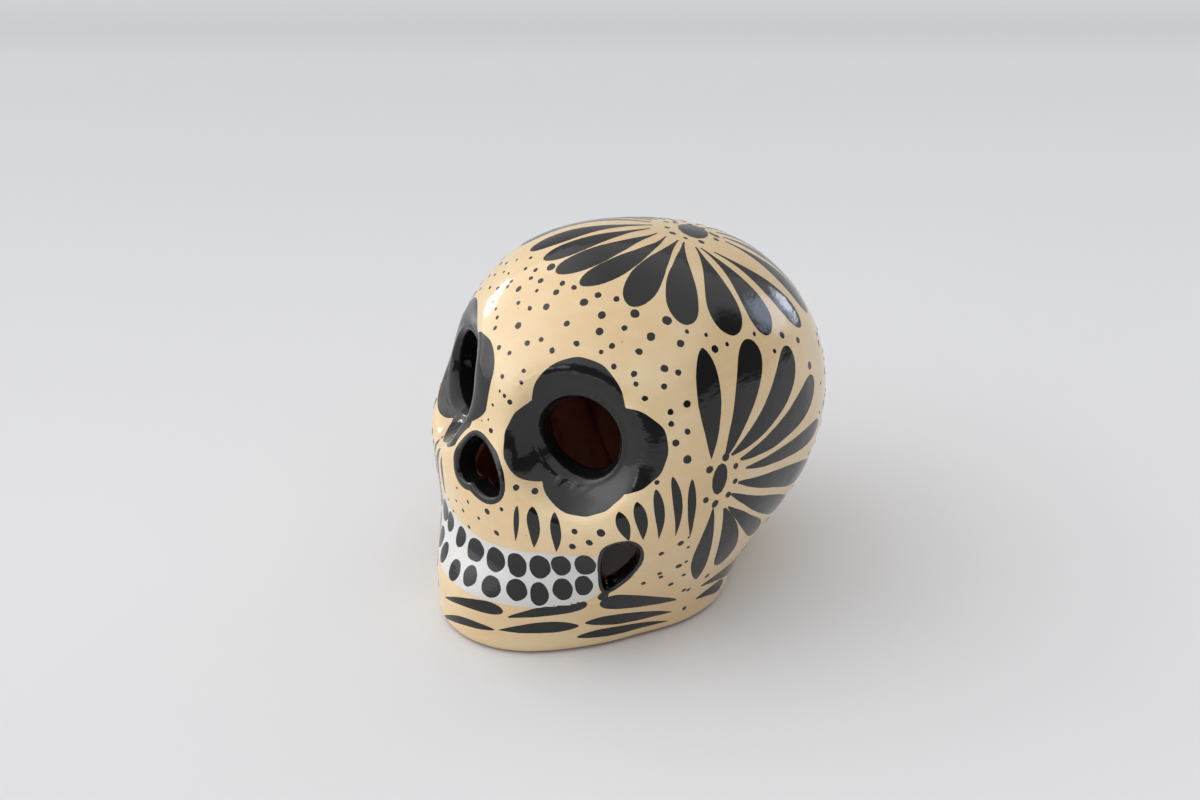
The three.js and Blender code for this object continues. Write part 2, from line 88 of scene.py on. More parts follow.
# Outlines of the nose and of the slots behind the teeth, in shares of half their width and height
NOSE = {"x": 1.9, "z": 42.7, "width": 13.2, "height": 10.6}
NOSE_SHARES = (
    (0.1, -1.05, 0.6, -1.12, 0.88, -0.78),
    (1.06, -0.58, 1.04, -0.2, 0.86, 0.14),
    (0.62, 0.56, 0.12, 0.98, -0.4, 1.0),
    (-0.78, 1.02, -0.96, 0.5, -1.0, 0.0),
    (-1.03, -0.4, -1.02, -0.66, -0.84, -0.82),
    (-0.62, -0.96, -0.4, -0.86, -0.24, -0.74),
)
SLOT = {"z": 25.6, "width": 8.2, "height": 14.4, "turn": math.radians(49.5)}
SLOT_SHARES = (
    (-0.4, -1.02, 0.8, -0.35, 0.95, 0.35),
    (1.05, 0.75, 0.8, 1.0, 0.3, 1.0),
    (-0.2, 1.0, -0.7, 0.9, -0.86, 0.6),
    (-1.05, 0.2, -1.05, -0.8, -0.75, -1.0),
)
# How far every cut runs inwards and outwards from the place that it is cut at
CUT_IN, CUT_OUT = 20.0, 12.0

# The slow waves that pressing and smoothing by hand leave, and the quicker swings of a brush or knife
HAND_WAVES = {"seed": 7, "count": 6, "lengths": (14, 34), "share": 0.0011}
HAND_SWINGS = {"count": 5, "lengths": (0.6, 1.6)}

# How finely the clay is meshed, and how far the net's points move at a time as it is evened out
PITCH = 0.85
EVENING = 0.6


def unit(v):
    return v / np.maximum(np.linalg.norm(v, axis=-1, keepdims=True), TINY)


# The form of the skull as one field over points: negative in the clay, zero on its face


def melt(a, b, reach):
    share = np.clip(0.5 + 0.5 * (b - a) / reach, 0, 1)
    return b * (1 - share) + a * share - reach * share * (1 - share)


def pare(a, b, reach):
    """Leaves of a only what is also in b, with a rounded edge."""
    return -melt(-a, -b, reach)


def egg(p, centre, half):
    q = (p - np.array(centre)) / np.array(half)
    near = np.linalg.norm(q, axis=-1)
    steep = np.linalg.norm(q / np.array(half), axis=-1)
    return near * (near - 1) / np.maximum(steep, TINY)


def column(p, form):
    half_length = (form["back"] - form["front"]) / 2
    power = form["squareness"]
    across = np.abs(p[:, 0]) / form["half_width"]
    along = np.abs(p[:, 1] - (form["front"] + form["back"]) / 2) / half_length
    near = np.maximum((across**power + along**power) ** (1 / power), TINY)
    steep_x = (across / near) ** (power - 1) / form["half_width"]
    steep_y = (along / near) ** (power - 1) / half_length
    side = (near - 1) / np.maximum(np.hypot(steep_x, steep_y), TINY)
    return -melt(-side, form["top"] - p[:, 2], COLUMN_TOP_ROUND)


def folded(p):
    """Both sides of the skull laid on its left."""
    return np.stack([np.abs(p[:, 0]), p[:, 1], p[:, 2]], axis=-1)


EYE_OUT = unit(np.array([math.sin(EYE_TURN), -math.cos(EYE_TURN), math.tan(EYE_TILT)]))
EYE_ACROSS = np.array([math.cos(EYE_TURN), math.sin(EYE_TURN), 0.0])
EYE_UP = np.cross(EYE_OUT, EYE_ACROSS)


def eye_chart(p):
    d = folded(p) - np.array(SOCKET["at"])
    return np.stack([d @ EYE_ACROSS, d @ EYE_UP, d @ EYE_OUT], axis=-1)


def body(p):
    half = folded(p)
    value = melt(egg(p, **CRANIUM), egg(p, **FOREHEAD), HEAD_BLEND)
    value = melt(value, egg(p, **FACE), HEAD_BLEND)
    value = melt(value, column(p, JAW), JAW_BLEND)
    value = melt(value, column(p, NECK), NECK_BLEND)
    value = melt(value, egg(half, **CHEEK), CHEEK_BLEND)
    bowl_half = (SOCKET["radius"], SOCKET["radius"], SOCKET["depth"] + SOCKET["lip"])
    bowl = egg(eye_chart(p), (0.0, 0.0, SOCKET["lip"]), bowl_half)
    value = -melt(-value, bowl, SOCKET["blend"])
    return -melt(-value, egg(p, **BRIDGE_DIP), BRIDGE_BLEND)


def unevenness(p):
    """Slow waves of a hand-pressed and hand-smoothed form."""
    waves = np.random.default_rng(HAND_WAVES["seed"])
    total = np.zeros(len(p))
    for _ in range(HAND_WAVES["count"]):
        way = unit(waves.normal(size=3))
        length, start = waves.uniform(*HAND_WAVES["lengths"]), waves.uniform(0, 2 * math.pi)
        total += np.sin(p @ way * 2 * math.pi / length + start) * length
    return total * HAND_WAVES["share"]


def unsteady(p, seed, amount, size=5.0):
    """The small swings of a brush or a knife held by hand."""
    swings = np.random.default_rng(seed)
    total = np.zeros(len(p))
    for _ in range(HAND_SWINGS["count"]):
        way = unit(swings.normal(size=3)) * 2 * math.pi / (size * swings.uniform(*HAND_SWINGS["lengths"]))
        total += np.sin(p @ way + swings.uniform(0, 2 * math.pi))
    return total * amount / HAND_SWINGS["count"] ** 0.5


def outside(p):
    low = np.clip((FOOT_ROUND - p[:, 2]) / FOOT_ROUND, 0, 1)
    return body(p) + unevenness(p) + FOOT_ROUND * (1 - np.sqrt(1 - low**2))


def bezier_outline(shares, width, height, steps=8):
    """Points round an outline of cubic curves, each with two handles and an end."""
    t = np.arange(1, steps + 1)[:, None] / steps
    scale = np.array([width / 2, height / 2])
    start = np.array(shares[-1][4:]) * scale
    points = []
    for share in shares:
        a, b, end = (np.array(share[i : i + 2]) * scale for i in (0, 2, 4))
        points.append(start * (1 - t) ** 3 + 3 * a * t * (1 - t) ** 2 + 3 * b * t**2 * (1 - t) + end * t**3)
        start = end
    return np.concatenate(points)


def outline_distance(q, outline):
    """Distance from points of a plane to a closed outline, negative inside it."""
    nearest = np.full(len(q), np.inf)
    crossings = np.zeros(len(q), int)
    for a, b in zip(outline, np.roll(outline, -1, axis=0)):
        side = b - a
        share = np.clip((q - a) @ side / (side @ side), 0, 1)
        nearest = np.minimum(nearest, np.linalg.norm(q - a - share[:, None] * side, axis=1))
        spans = (a[1] > q[:, 1]) != (b[1] > q[:, 1])
        drop = side[1] if side[1] else TINY
        crossings += spans & (q[:, 0] < a[0] + (q[:, 1] - a[1]) * side[0] / drop)
    return np.where(crossings % 2 == 1, -nearest, nearest)


# How often a ray's length is halved, to find the face that it passes through from inside
HALVINGS = 40


def cast(start, way, depth=0.0):
    """Where rays from inside the form pass through its face, or through a face set in by a depth."""
    start, way = np.broadcast_arrays(np.atleast_2d(start), np.atleast_2d(way))
    near, far = np.zeros(len(way)), np.full(len(way), 2 * CRANIUM["half"][1])
    for _ in range(HALVINGS):
        length = (near + far) / 2
        within = body(start + way * length[:, None]) < -depth
        near, far = np.where(within, length, near), np.where(within, far, length)
    return start + way * far[:, None]


def level_way(azimuth):
    return np.array([math.sin(azimuth), -math.cos(azimuth), 0.0])


def on_wall(azimuth, z):
    """A point of the face at an azimuth from straight ahead and a height."""
    return cast([0.0, MIDDLE[1], z], level_way(azimuth))[0]


NOSE_AT = on_wall(0.0, NOSE["z"])
NOSE_OUTLINE = bezier_outline(NOSE_SHARES, NOSE["width"], NOSE["height"])
SLOT_OUT = level_way(SLOT["turn"])
SLOT_ACROSS = np.array([math.cos(SLOT["turn"]), math.sin(SLOT["turn"]), 0.0])
SLOT_AT = on_wall(SLOT["turn"], SLOT["z"])
SLOT_OUTLINE = bezier_outline(SLOT_SHARES, SLOT["width"], SLOT["height"])


def between(depth):
    """Zero at both ends of a cut's run through the wall, negative between them."""
    return np.maximum(-depth - CUT_IN, depth - CUT_OUT)


def eye_ring(p):
    """Distance of points from the edge of their own side's eye hole, and their turn about its middle."""
    q = eye_chart(p)
    on_left = p[:, 0] > 0
    across, up, radius = (
        np.where(on_left, LEFT_EYE_HOLE[key], RIGHT_EYE_HOLE[key]) for key in ("across", "up", "radius")
    )
    across, up = q[:, 0] - across, q[:, 1] - up
    radius = radius + HOLE_FLARE * np.clip(-q[:, 2] - SOCKET["depth"], 0, WALL)
    return np.hypot(across, up) - radius, np.arctan2(up, across), q[:, 2]


def eye_cut(p):
    ring, _, depth = eye_ring(p)
    return np.maximum(ring, between(depth))


def near_only(p, at, reach, distance):
    """Works a costly distance out near its own place only."""
    value = np.full(len(p), reach)
    near = np.linalg.norm(p - at, axis=1) < 2 * reach
    value[near] = distance(p[near])
    return value


def nose_distance(p):
    return outline_distance(np.stack([p[:, 0] - NOSE["x"], p[:, 2] - NOSE["z"]], axis=-1), NOSE_OUTLINE)


def slot_distance(p):
    d = p - SLOT_AT
    return outline_distance(np.stack([d @ SLOT_ACROSS, d[:, 2]], axis=-1), SLOT_OUTLINE)


def nose_cut(p):
    def distance(q):
        return np.maximum(nose_distance(q), between(NOSE_AT[1] - q[:, 1]))

    return near_only(p, NOSE_AT, CUT_IN, distance)


def slot_cut(p):
    def distance(q):
        return np.maximum(slot_distance(q), between((q - SLOT_AT) @ SLOT_OUT))

    return near_only(folded(p), SLOT_AT, CUT_IN, distance)


RIM_ROUND = {"eye": 1.0, "nose": 1.0, "slot": 0.8, "foot": 0.9}
EYE_LIP = {"away": 1.2, "width": 0.8, "height": 0.42}
# The crinkles begin and are deepest where the hole's rim hangs this steeply
CRINKLES = {"away": 2.6, "width": 1.1, "height": 0.2, "size": 2.2, "base": 0.4}
CRINKLED = {"turn": 0.1, "steep": (0.6, 1.0)}


def swell(away, form):
    return form["height"] * np.exp(-(((away - form["away"]) / form["width"]) ** 2))


def eye_lip(p):
    """The rim that a thumb smoothed round each eye hole."""
    return swell(eye_ring(p)[0], EYE_LIP)


def crinkles(p):
    """The folds pushed up below each eye hole, in the slip that covers them."""
    ring, turn, _ = eye_ring(p)
    start, full = CRINKLED["steep"]
    below = np.clip(-np.sin(turn + CRINKLED["turn"]) - start, 0, full - start) / (full - start)
    folds = np.maximum(CRINKLES["base"] + unsteady(p, 61, 1.0, CRINKLES["size"]), 0)
    return swell(ring, CRINKLES) * below * folds


def clay(p):
    """The whole pot: its wall, its open foot and its cut openings, with every edge rounded."""
    value = pare(outside(p) - eye_lip(p), -(body(p) + WALL), RIM_ROUND["foot"])
    value = pare(value, -p[:, 2], RIM_ROUND["foot"])
    value = pare(value, -eye_cut(p), RIM_ROUND["eye"])
    value = pare(value, -nose_cut(p), RIM_ROUND["nose"])
    return pare(value, -slot_cut(p), RIM_ROUND["slot"])


def slope(p, field, step=0.02):
    parts = [field(p + way) - field(p - way) for way in np.eye(3) * step]
    return np.stack(parts, axis=-1) / (2 * step)


def settle(p, field, passes=3):
    """Moves points onto the face of a field."""
    for _ in range(passes):
        lean = slope(p, field)
        p = p - lean * (field(p) / np.maximum((lean**2).sum(-1), TINY))[:, None]
    return p


def net_skin(field, low, high, pitch):
    """A net of quads over the zero face of a field: one point in each cell that the face crosses."""
    axes = [np.arange(a, b + pitch, pitch) for a, b in zip(low, high)]
    grid = np.stack(np.meshgrid(*axes, indexing="ij"), axis=-1)
    values = np.concatenate([field(slab.reshape(-1, 3)) for slab in grid]).reshape(grid.shape[:3])
    inside = values < 0
    shape = np.array(values.shape) - 1
    corners = [np.array((i, j, k)) for i in (0, 1) for j in (0, 1) for k in (0, 1)]
    windows = [tuple(slice(at, at + size) for at, size in zip(corner, shape)) for corner in corners]
    count = sum(inside[window].astype(int) for window in windows)
    crossed = (count > 0) & (count < 8)
    cells = np.argwhere(crossed)
    number = np.full(tuple(shape), -1)
    number[crossed] = np.arange(len(cells))
    total, hits = np.zeros((len(cells), 3)), np.zeros(len(cells))
    quads = []
    for axis in range(3):
        step = np.eye(3, dtype=int)[axis]
        side, up = np.eye(3, dtype=int)[(axis + 1) % 3], np.eye(3, dtype=int)[(axis + 2) % 3]
        for corner in (0 * side, side, up, side + up):
            a = values[tuple((cells + corner).T)]
            b = values[tuple((cells + corner + step).T)]
            cut = (a < 0) != (b < 0)
            share = np.where(cut, a / np.where(cut, a - b, 1), 0)
            total += (cells + corner + step * share[:, None]) * cut[:, None]
            hits += cut
        start = inside[: shape[0], : shape[1], : shape[2]]
        end = np.roll(inside, -1, axis=axis)[: shape[0], : shape[1], : shape[2]]
        edges = np.argwhere(start != end)
        edges = edges[(edges @ side > 0) & (edges @ up > 0)]
        around = (0 * side, side, side + up, up)
        ring = np.stack([number[tuple((edges - back).T)] for back in around], axis=-1)
        outwards = start[tuple(edges.T)]
        quads.append(np.where(outwards[:, None], ring, ring[:, ::-1]))
    return np.array(low) + pitch * total / hits[:, None], np.concatenate(quads)


def relaxed(points, faces, field, rounds=3):
    """Evens out the net along the face of the field."""
    ends = np.concatenate([faces[:, [i, (i + 1) % 4]] for i in range(4)])
    ends = np.concatenate([ends, ends[:, ::-1]])
    links = np.bincount(ends[:, 0], minlength=len(points))
    for _ in range(rounds):
        sums = [np.bincount(ends[:, 0], points[ends[:, 1], i], len(points)) for i in range(3)]
        mean = np.stack(sums, axis=-1) / links[:, None]
        points = settle(points + EVENING * (mean - points), field, 2)
    return points


# The camera, and what is read off the photograph in its own pixels and cast back onto the clay

PHOTO_WIDTH, PHOTO_HEIGHT = 1200, 800
CAMERA = {
    "turn": math.radians(48.462),
    "rise": math.radians(29.983),
    "distance": 383.2,
    "right": -12.66,
    "up": -5.78,
    "height": 45.0,
    "lens": 49.98,
    "film": 36.0,
    "nearest": 10.0,
}
FOCAL_PIXELS = CAMERA["lens"] / CAMERA["film"] * PHOTO_WIDTH
# A ray from the camera goes this share of its distance from the clay at each of its steps
RAY = {"steps": 150, "share": 0.6}


def camera_axes():
    """Where the camera stands, and its ways right, up and back."""
    turn, rise = CAMERA["turn"], CAMERA["rise"]
    back = np.array([math.sin(turn) * math.cos(rise), -math.cos(turn) * math.cos(rise), math.sin(rise)])
    right = np.array([math.cos(turn), math.sin(turn), 0.0])
    up = np.cross(back, right)
    target = np.array([0.0, 0.0, CAMERA["height"]]) + right * CAMERA["right"] + up * CAMERA["up"]
    return target + back * CAMERA["distance"], right, up, back


def photo_spots(pixels):
    """The places of the clay's face that the camera sees at some pixels, or passes closest to."""
    place, right, up, back = camera_axes()
    across, down = (np.array(pixels, float) - (PHOTO_WIDTH / 2, PHOTO_HEIGHT / 2)).T[:, :, None]
    way = unit(right * across - up * down - back * FOCAL_PIXELS)
    length = np.full(len(way), CAMERA["distance"] - 3 * CRANIUM["half"][1])
    best, least = place + way * length[:, None], np.full(len(way), np.inf)
    for _ in range(RAY["steps"]):
        spot = place + way * length[:, None]
        value = body(spot)
        best = np.where((value < least)[:, None], spot, best)
        least = np.minimum(value, least)
        length = length + RAY["share"] * np.maximum(value, 0.0)
    return settle(best, body)


# Meshes in the row frame, whose origin lies under the middle of the skull

SHIFT = np.array([0.0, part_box("cranium_shell")[1].y / MM - CRANIUM["centre"][1] - CRANIUM["half"][1], 0.0])


def placed(points):
    return (np.asarray(points) + SHIFT) * MM


def add_object(name, mesh, material, smooth=True):
    if smooth:
        mesh.polygons.foreach_set("use_smooth", [True] * len(mesh.polygons))
    made = bpy.data.objects.new(name, mesh)
    bpy.context.scene.collection.objects.link(made)
    if material:
        mesh.materials.clear()
        mesh.materials.append(material)
    return made


def mesh_of(name, points, faces):
    mesh = bpy.data.meshes.new(name)
    mesh.from_pydata(placed(points).tolist(), [], faces)
    mesh.update()
    return mesh


def store(mesh, name, values, kind="FLOAT"):
    """A value for each point of a mesh, for its material or its node tree."""
    key = "vector" if kind == "FLOAT_VECTOR" else "value"
    mesh.attributes.new(name, kind, "POINT").data.foreach_set(key, np.asarray(values, float).ravel())


def shade_by(mesh, field, points):
    mesh.normals_split_custom_set_from_vertices(unit(slope(points, field)).tolist())


# Slip that is painted over a cut edge or across a wide place: it is cut out of the clay's own face

# Its thickness over and under the face, how wide its edge slopes and how much of the lift its rim keeps.
# In a hole it ends this far above the bare inner edge
SLIP = {"lift": 0.07, "sink": 0.15, "edge": 0.35, "rim": 0.2, "ends": 0.7, "ragged": 0.25}


def halved(points, faces, field):
    """Splits each triangle in four and lays the new points on the face."""
    ends = np.sort(np.concatenate([faces[:, [0, 1]], faces[:, [1, 2]], faces[:, [2, 0]]]), axis=1)
    edges, number = np.unique(ends, axis=0, return_inverse=True)
    ab, bc, ca = number.reshape(3, -1) + len(points)
    a, b, c = faces.T
    corners = ((a, ab, ca), (ab, b, bc), (ca, bc, c), (ab, bc, ca))
    finer = np.concatenate([np.stack(corner, axis=-1) for corner in corners])
    return np.concatenate([points, settle(points[edges].mean(1), field)]), finer


def packed(points, faces):
    """Only the points that the faces use."""
    used, number = np.unique(faces, return_inverse=True)
    return points[used], number.reshape(faces.shape)


def trimmed(points, faces, value):
    """The faces where a value is negative, cut along its zero line."""
    inside = value[faces] < 0
    count = inside.sum(1)
    ends, corners = [], []
    for wanted in (1, 2):
        some, within = faces[count == wanted], inside[count == wanted]
        first = np.argmax(within == (wanted == 1), axis=1)
        row = np.arange(len(some))
        a, b, c = (some[row, (first + i) % 3] for i in range(3))
        ends += [np.stack([a, b], axis=-1), np.stack([c, a], axis=-1)]
        corners.append((a, b, c))
    edges, number = np.unique(np.sort(np.concatenate(ends), axis=1), axis=0, return_inverse=True)
    share = value[edges[:, 0]] / (value[edges[:, 0]] - value[edges[:, 1]])
    cut = points[edges[:, 0]] * (1 - share[:, None]) + points[edges[:, 1]] * share[:, None]
    parts = np.split(number + len(points), np.cumsum([len(e) for e in ends])[:-1])
    (a1, _, _), (_, b2, c2) = corners
    faces = np.concatenate(
        [
            faces[count == 3],
            np.stack([a1, parts[0], parts[1]], axis=-1),
            np.stack([parts[2], b2, c2], axis=-1),
            np.stack([parts[2], c2, parts[3]], axis=-1),
        ]
    )
    return packed(np.concatenate([points, cut]), faces)


def sheet_between(upper, lower, faces):
    """A closed skin between two layers of the same faces."""
    count, corners = len(upper), faces.shape[1]
    ends = np.concatenate([faces[:, [i, (i + 1) % corners]] for i in range(corners)])
    key, back = ends[:, 0] * count + ends[:, 1], ends[:, 1] * count + ends[:, 0]
    a, b = ends[~np.isin(key, back)].T
    walls = np.stack([b, a, a + count, b + count], axis=-1)
    skins = [*faces.tolist(), *(faces[:, ::-1] + count).tolist(), *walls.tolist()]
    return np.concatenate([upper, lower]), skins


def painted(name, mask, material, relief=None):
    """Slip over every part of the clay where a mask is negative, with a relief of its own or none."""

    def face(p):
        return clay(p) - relief(p) if relief else clay(p)

    near = (mask(CLAY_POINTS) < 2 * PITCH)[CLAY_FACES].any(1)
    points, faces = packed(CLAY_POINTS, CLAY_FACES[near])
    points, faces = halved(points, faces, clay)
    points, faces = trimmed(points, faces, mask(points))
    points = settle(points, clay, 1)
    out = unit(slope(points, clay))
    rise = np.clip(-mask(points) / SLIP["edge"], 0, 1)
    rise = SLIP["lift"] * (SLIP["rim"] + (1 - SLIP["rim"]) * rise * (2 - rise))
    if relief:
        rise += relief(points)
    points, faces = sheet_between(points + out * rise[:, None], points - out * SLIP["sink"], faces)
    mesh = mesh_of(name, points, faces)
    made = add_object(name, mesh, material)
    shade_by(mesh, face, points)
    return made


def down_the_hole(p):
    """Negative on the outside and in a cut, down to just above the bare inner edge."""
    return -body(p) - WALL + SLIP["ends"] + unsteady(p, 5, SLIP["ragged"])


# The round lobes of the flower about each eye: across, up and radius
LEFT_EYE_LOBES = ((-0.6, 6.8, 10.1), (9.85, -0.55, 8.9), (1.7, -4.5, 10.9), (-6.7, -2.1, 8.9))
RIGHT_EYE_LOBES = (
    (2.5, 6.3, 9.4),
    (-11.5, 4.7, 9.6),
    (-9.8, -3.9, 8.0),
    (-3.0, -5.5, 9.0),
    (6.0, -4.4, 9.4),
    (9.9, -0.6, 9.3),
)
# How far each flower stays off the middle of the face and off the nose's own slip, by its edge
OFF_MIDDLE, OFF_NOSE = 0.4, 0.3
# How far a painted edge wanders
WANDER = 0.1


def eye_flower_mask(side):
    lobes = LEFT_EYE_LOBES if side > 0 else RIGHT_EYE_LOBES

    def mask(p):
        q = eye_chart(p)
        discs = [np.hypot(q[:, 0] - across, q[:, 1] - up) - radius for across, up, radius in lobes]
        flower = np.minimum.reduce(discs) + unsteady(p, 11 + side, WANDER)
        flower = np.maximum(flower, between(q[:, 2]))
        aside = np.maximum(OFF_MIDDLE - side * p[:, 0], OFF_NOSE - nose_clearance(p))
        return np.maximum.reduce([flower, down_the_hole(p), aside])

    return mask


# How wide the slip is round the nose and the slots, and the room left round that of the nose
NOSE_RIM, SLOT_RIM, NOSE_ROOM = 1.5, 0.9, 0.5


def nose_clearance(p):
    """How far outside the nose's own slip a point of the face lies."""
    clear = near_only(p, NOSE_AT, CUT_IN, nose_distance) - NOSE_RIM - NOSE_ROOM
    return np.where((p[:, 1] < MIDDLE[1]) & (body(p) > -RIM_ROUND["eye"] - NOSE_ROOM), clear, CUT_IN)


def nose_mask(p):
    rim = near_only(p, NOSE_AT, CUT_IN, nose_distance) - NOSE_RIM + unsteady(p, 21, WANDER, 7.0)
    return np.maximum.reduce([rim, between(NOSE_AT[1] - p[:, 1]), down_the_hole(p)])


def slot_mask(side):
    def mask(p):
        half = folded(p)
        rim = near_only(half, SLOT_AT, CUT_IN, slot_distance) - SLOT_RIM + unsteady(p, 31 + side, WANDER, 6.0)
        depth = between((half - SLOT_AT) @ SLOT_OUT)
        return np.maximum.reduce([rim, depth, down_the_hole(p), -side * p[:, 0]])

    return mask


# The white band of the teeth: its heights at the middle of the mouth and at its corners, the turn of
# its ends, how far they stand from the middle of the head, and how deep into a cut the slip runs
TEETH = {
    "bottom": 13.5,
    "top": 25.2,
    "corner_bottom": 17.6,
    "corner_top": 28.6,
    "end": math.radians(42.6),
    "from_middle": 42.0,
    "depth": 1.0,
}


def azimuth_of(p):
    return np.arctan2(p[:, 0], MIDDLE[1] - p[:, 1])


def tooth_band_mask(p):
    turn = azimuth_of(p)
    share = np.clip(np.abs(turn) / TEETH["end"], 0, 1)
    top = TEETH["top"] + (TEETH["corner_top"] - TEETH["top"]) * (1 - np.cos(share * math.pi)) / 2
    bottom = TEETH["bottom"] + (TEETH["corner_bottom"] - TEETH["bottom"]) * share**8
    ends = (np.abs(turn) - TEETH["end"]) * TEETH["from_middle"]
    edge = np.maximum.reduce([p[:, 2] - top, bottom - p[:, 2], ends]) + unsteady(p, 41, 0.12, 6.0)
    return np.maximum(edge, -body(p) - TEETH["depth"])


# Marks laid on the clay by a node tree: each is a unit mark, sized and turned to its own place


class Nodes:
    """Adds nodes to a tree, with their settings, values and links in one call."""

    def __init__(self, tree):
        self.tree = tree

    def __call__(self, kind, links=None, **settings):
        made = self.tree.nodes.new(kind)
        for key, value in settings.items():
            setattr(made, key, value)
        for key, value in (links or {}).items():
            if isinstance(value, bpy.types.NodeSocket):
                self.tree.links.new(value, made.inputs[key])
            else:
                made.inputs[key].default_value = value
        return made

    def math(self, operation, *values):
        return self("ShaderNodeMath", dict(enumerate(values)), operation=operation).outputs[0]

    def vector(self, operation, *values):
        made = self("ShaderNodeVectorMath", dict(enumerate(values)), operation=operation)
        return made.outputs["Value" if operation in ("DOT_PRODUCT", "LENGTH") else "Vector"]

    def scaled(self, vector, factor):
        made = self("ShaderNodeVectorMath", {0: vector, "Scale": factor}, operation="SCALE")
        return made.outputs["Vector"]

    def mixed(self, share, a, b):
        """A colour between two others."""
        return self("ShaderNodeMix", {0: share, 6: a, 7: b}, data_type="RGBA").outputs[2]

    def ramp(self, value, low, high, **settings):
        """From 0 to 1 as a value goes from low to high, which may be the smaller."""
        limits = {"Value": value, "From Min": low, "From Max": high}
        return self("ShaderNodeMapRange", limits, **settings).outputs[0]

    def soft_ramp(self, value, low, high):
        return self.ramp(value, low, high, interpolation_type="SMOOTHSTEP")

    def noise(self, place, scale, detail, roughness=0.5):
        inputs = {"Vector": place, "Scale": scale, "Detail": detail, "Roughness": roughness}
        return self("ShaderNodeTexNoise", inputs).outputs[0]


def new_tree(name, kind, inputs, outputs):
    tree = bpy.data.node_groups.new(name, kind)
    for label, socket, value in inputs:
        made = tree.interface.new_socket(label, in_out="INPUT", socket_type=socket)
        if value is not None:
            made.default_value = value
    for label, socket in outputs:
        tree.interface.new_socket(label, in_out="OUTPUT", socket_type=socket)
    return tree


def laying_tree():
    """Puts a unit mark on every point, presses it onto the skin and gives it its relief."""
    inputs = (
        ("Points", "NodeSocketGeometry", None),
        ("Skin", "NodeSocketObject", None),
        ("Mark", "NodeSocketObject", None),
        ("Lift", "NodeSocketFloat", SLIP["lift"] * MM),
        ("Sink", "NodeSocketFloat", SLIP["sink"] * MM),
        ("Base", "NodeSocketFloat", 0.0),
        ("Reach", "NodeSocketFloat", 0.01),
        ("Swing", "NodeSocketFloat", 0.0002),
        ("Swing Size", "NodeSocketFloat", 0.003),
        ("Seed", "NodeSocketInt", 1),
        ("Slip", "NodeSocketMaterial", None),
    )
    tree = new_tree("mark_laying", "GeometryNodeTree", inputs, (("Marks", "NodeSocketGeometry"),))
    add = Nodes(tree)
    given = add("NodeGroupInput").outputs

    def stored(name):
        return add("GeometryNodeInputNamedAttribute", {"Name": name}, data_type="FLOAT_VECTOR").outputs[0]

    out, along, size, place = stored("out"), stored("along"), stored("size"), stored("place")
    sizes = add("ShaderNodeSeparateXYZ", {0: size}).outputs
    spread = add("ShaderNodeCombineXYZ", {0: sizes[0], 1: sizes[1], 2: 1.0}).outputs[0]
    turned = add("FunctionNodeAxesToRotation", {0: out, 1: along}, primary_axis="Z", secondary_axis="X")
    mark = add("GeometryNodeObjectInfo", {"Object": given["Mark"]}).outputs["Geometry"]
    set_out = add(
        "GeometryNodeInstanceOnPoints",
        {"Points": given["Points"], "Instance": mark, "Rotation": turned.outputs[0], "Scale": spread},
    )
    whole = add("GeometryNodeRealizeInstances", {0: set_out.outputs[0]}).outputs[0]

    places = add("ShaderNodeSeparateXYZ", {0: place}).outputs
    bow = add.math("MULTIPLY", add.math("MULTIPLY", places[0], add.math("SUBTRACT", 1.0, places[0])), 4.0)
    beside = add.scaled(add.vector("CROSS_PRODUCT", out, along), add.math("MULTIPLY", bow, sizes[2]))
    position = add("GeometryNodeInputPosition").outputs[0]
    spot = add.vector("DIVIDE", position, given["Swing Size"])
    spot = add.vector("ADD", spot, add.scaled((0.37, 0.61, 0.83), given["Seed"]))
    swing = add("ShaderNodeTexNoise", {"Vector": spot, "Scale": 1.0, "Detail": 1.0}).outputs["Color"]
    swing = add.scaled(add.vector("SUBTRACT", swing, (0.5, 0.5, 0.5)), given["Swing"])
    moved = add.vector("ADD", position, add.vector("ADD", beside, swing))
    source = add.vector("ADD", moved, add.scaled(out, given["Reach"]))
    skin = add("GeometryNodeObjectInfo", {"Object": given["Skin"]}).outputs["Geometry"]
    press = add(
        "GeometryNodeRaycast",
        {
            "Target Geometry": skin,
            "Source Position": source,
            "Ray Direction": add.scaled(out, -1.0),
            "Ray Length": add.math("MULTIPLY", given["Reach"], 3.0),
        },
    ).outputs
    up = add.math("MULTIPLY", add.math("MAXIMUM", places[2], 0.0), given["Lift"])
    down = add.math("MULTIPLY", add.math("MINIMUM", places[2], 0.0), given["Sink"])
    height = add.math("ADD", add.math("ADD", up, down), given["Base"])
    landed = add.vector("ADD", press["Hit Position"], add.scaled(press["Hit Normal"], height))
    pressed = add(
        "GeometryNodeSetPosition", {"Geometry": whole, "Selection": press["Is Hit"], "Position": landed}
    )
    dressed = add("GeometryNodeSetMaterial", {"Geometry": pressed.outputs[0], "Material": given["Slip"]})
    add("NodeGroupOutput", {0: dressed.outputs[0]})
    return tree


def unit_mark(name, rows, columns, half_width):
    """A closed mark from 0 to 1 along X. half_width gives its width at a share of its length."""
    along = [(1 - math.cos(math.pi * i / rows)) / 2 for i in range(rows + 1)]
    beside = [math.sin(math.pi / 2 * (2 * j / columns - 1)) for j in range(columns + 1)]
    points = np.array([(u, v * max(half_width(u), 0.02), 0.0) for u in along for v in beside])
    rim = [i in (0, rows) or j in (0, columns) for i in range(rows + 1) for j in range(columns + 1)]
    corner = np.array([i * (columns + 1) + j for i in range(rows) for j in range(columns)])
    faces = np.stack([corner, corner + columns + 1, corner + columns + 2, corner + 1], axis=-1)
    return finished_mark(name, points, faces, rim)


# How far out a dot stays at its full height
DOT_TOP = 0.72


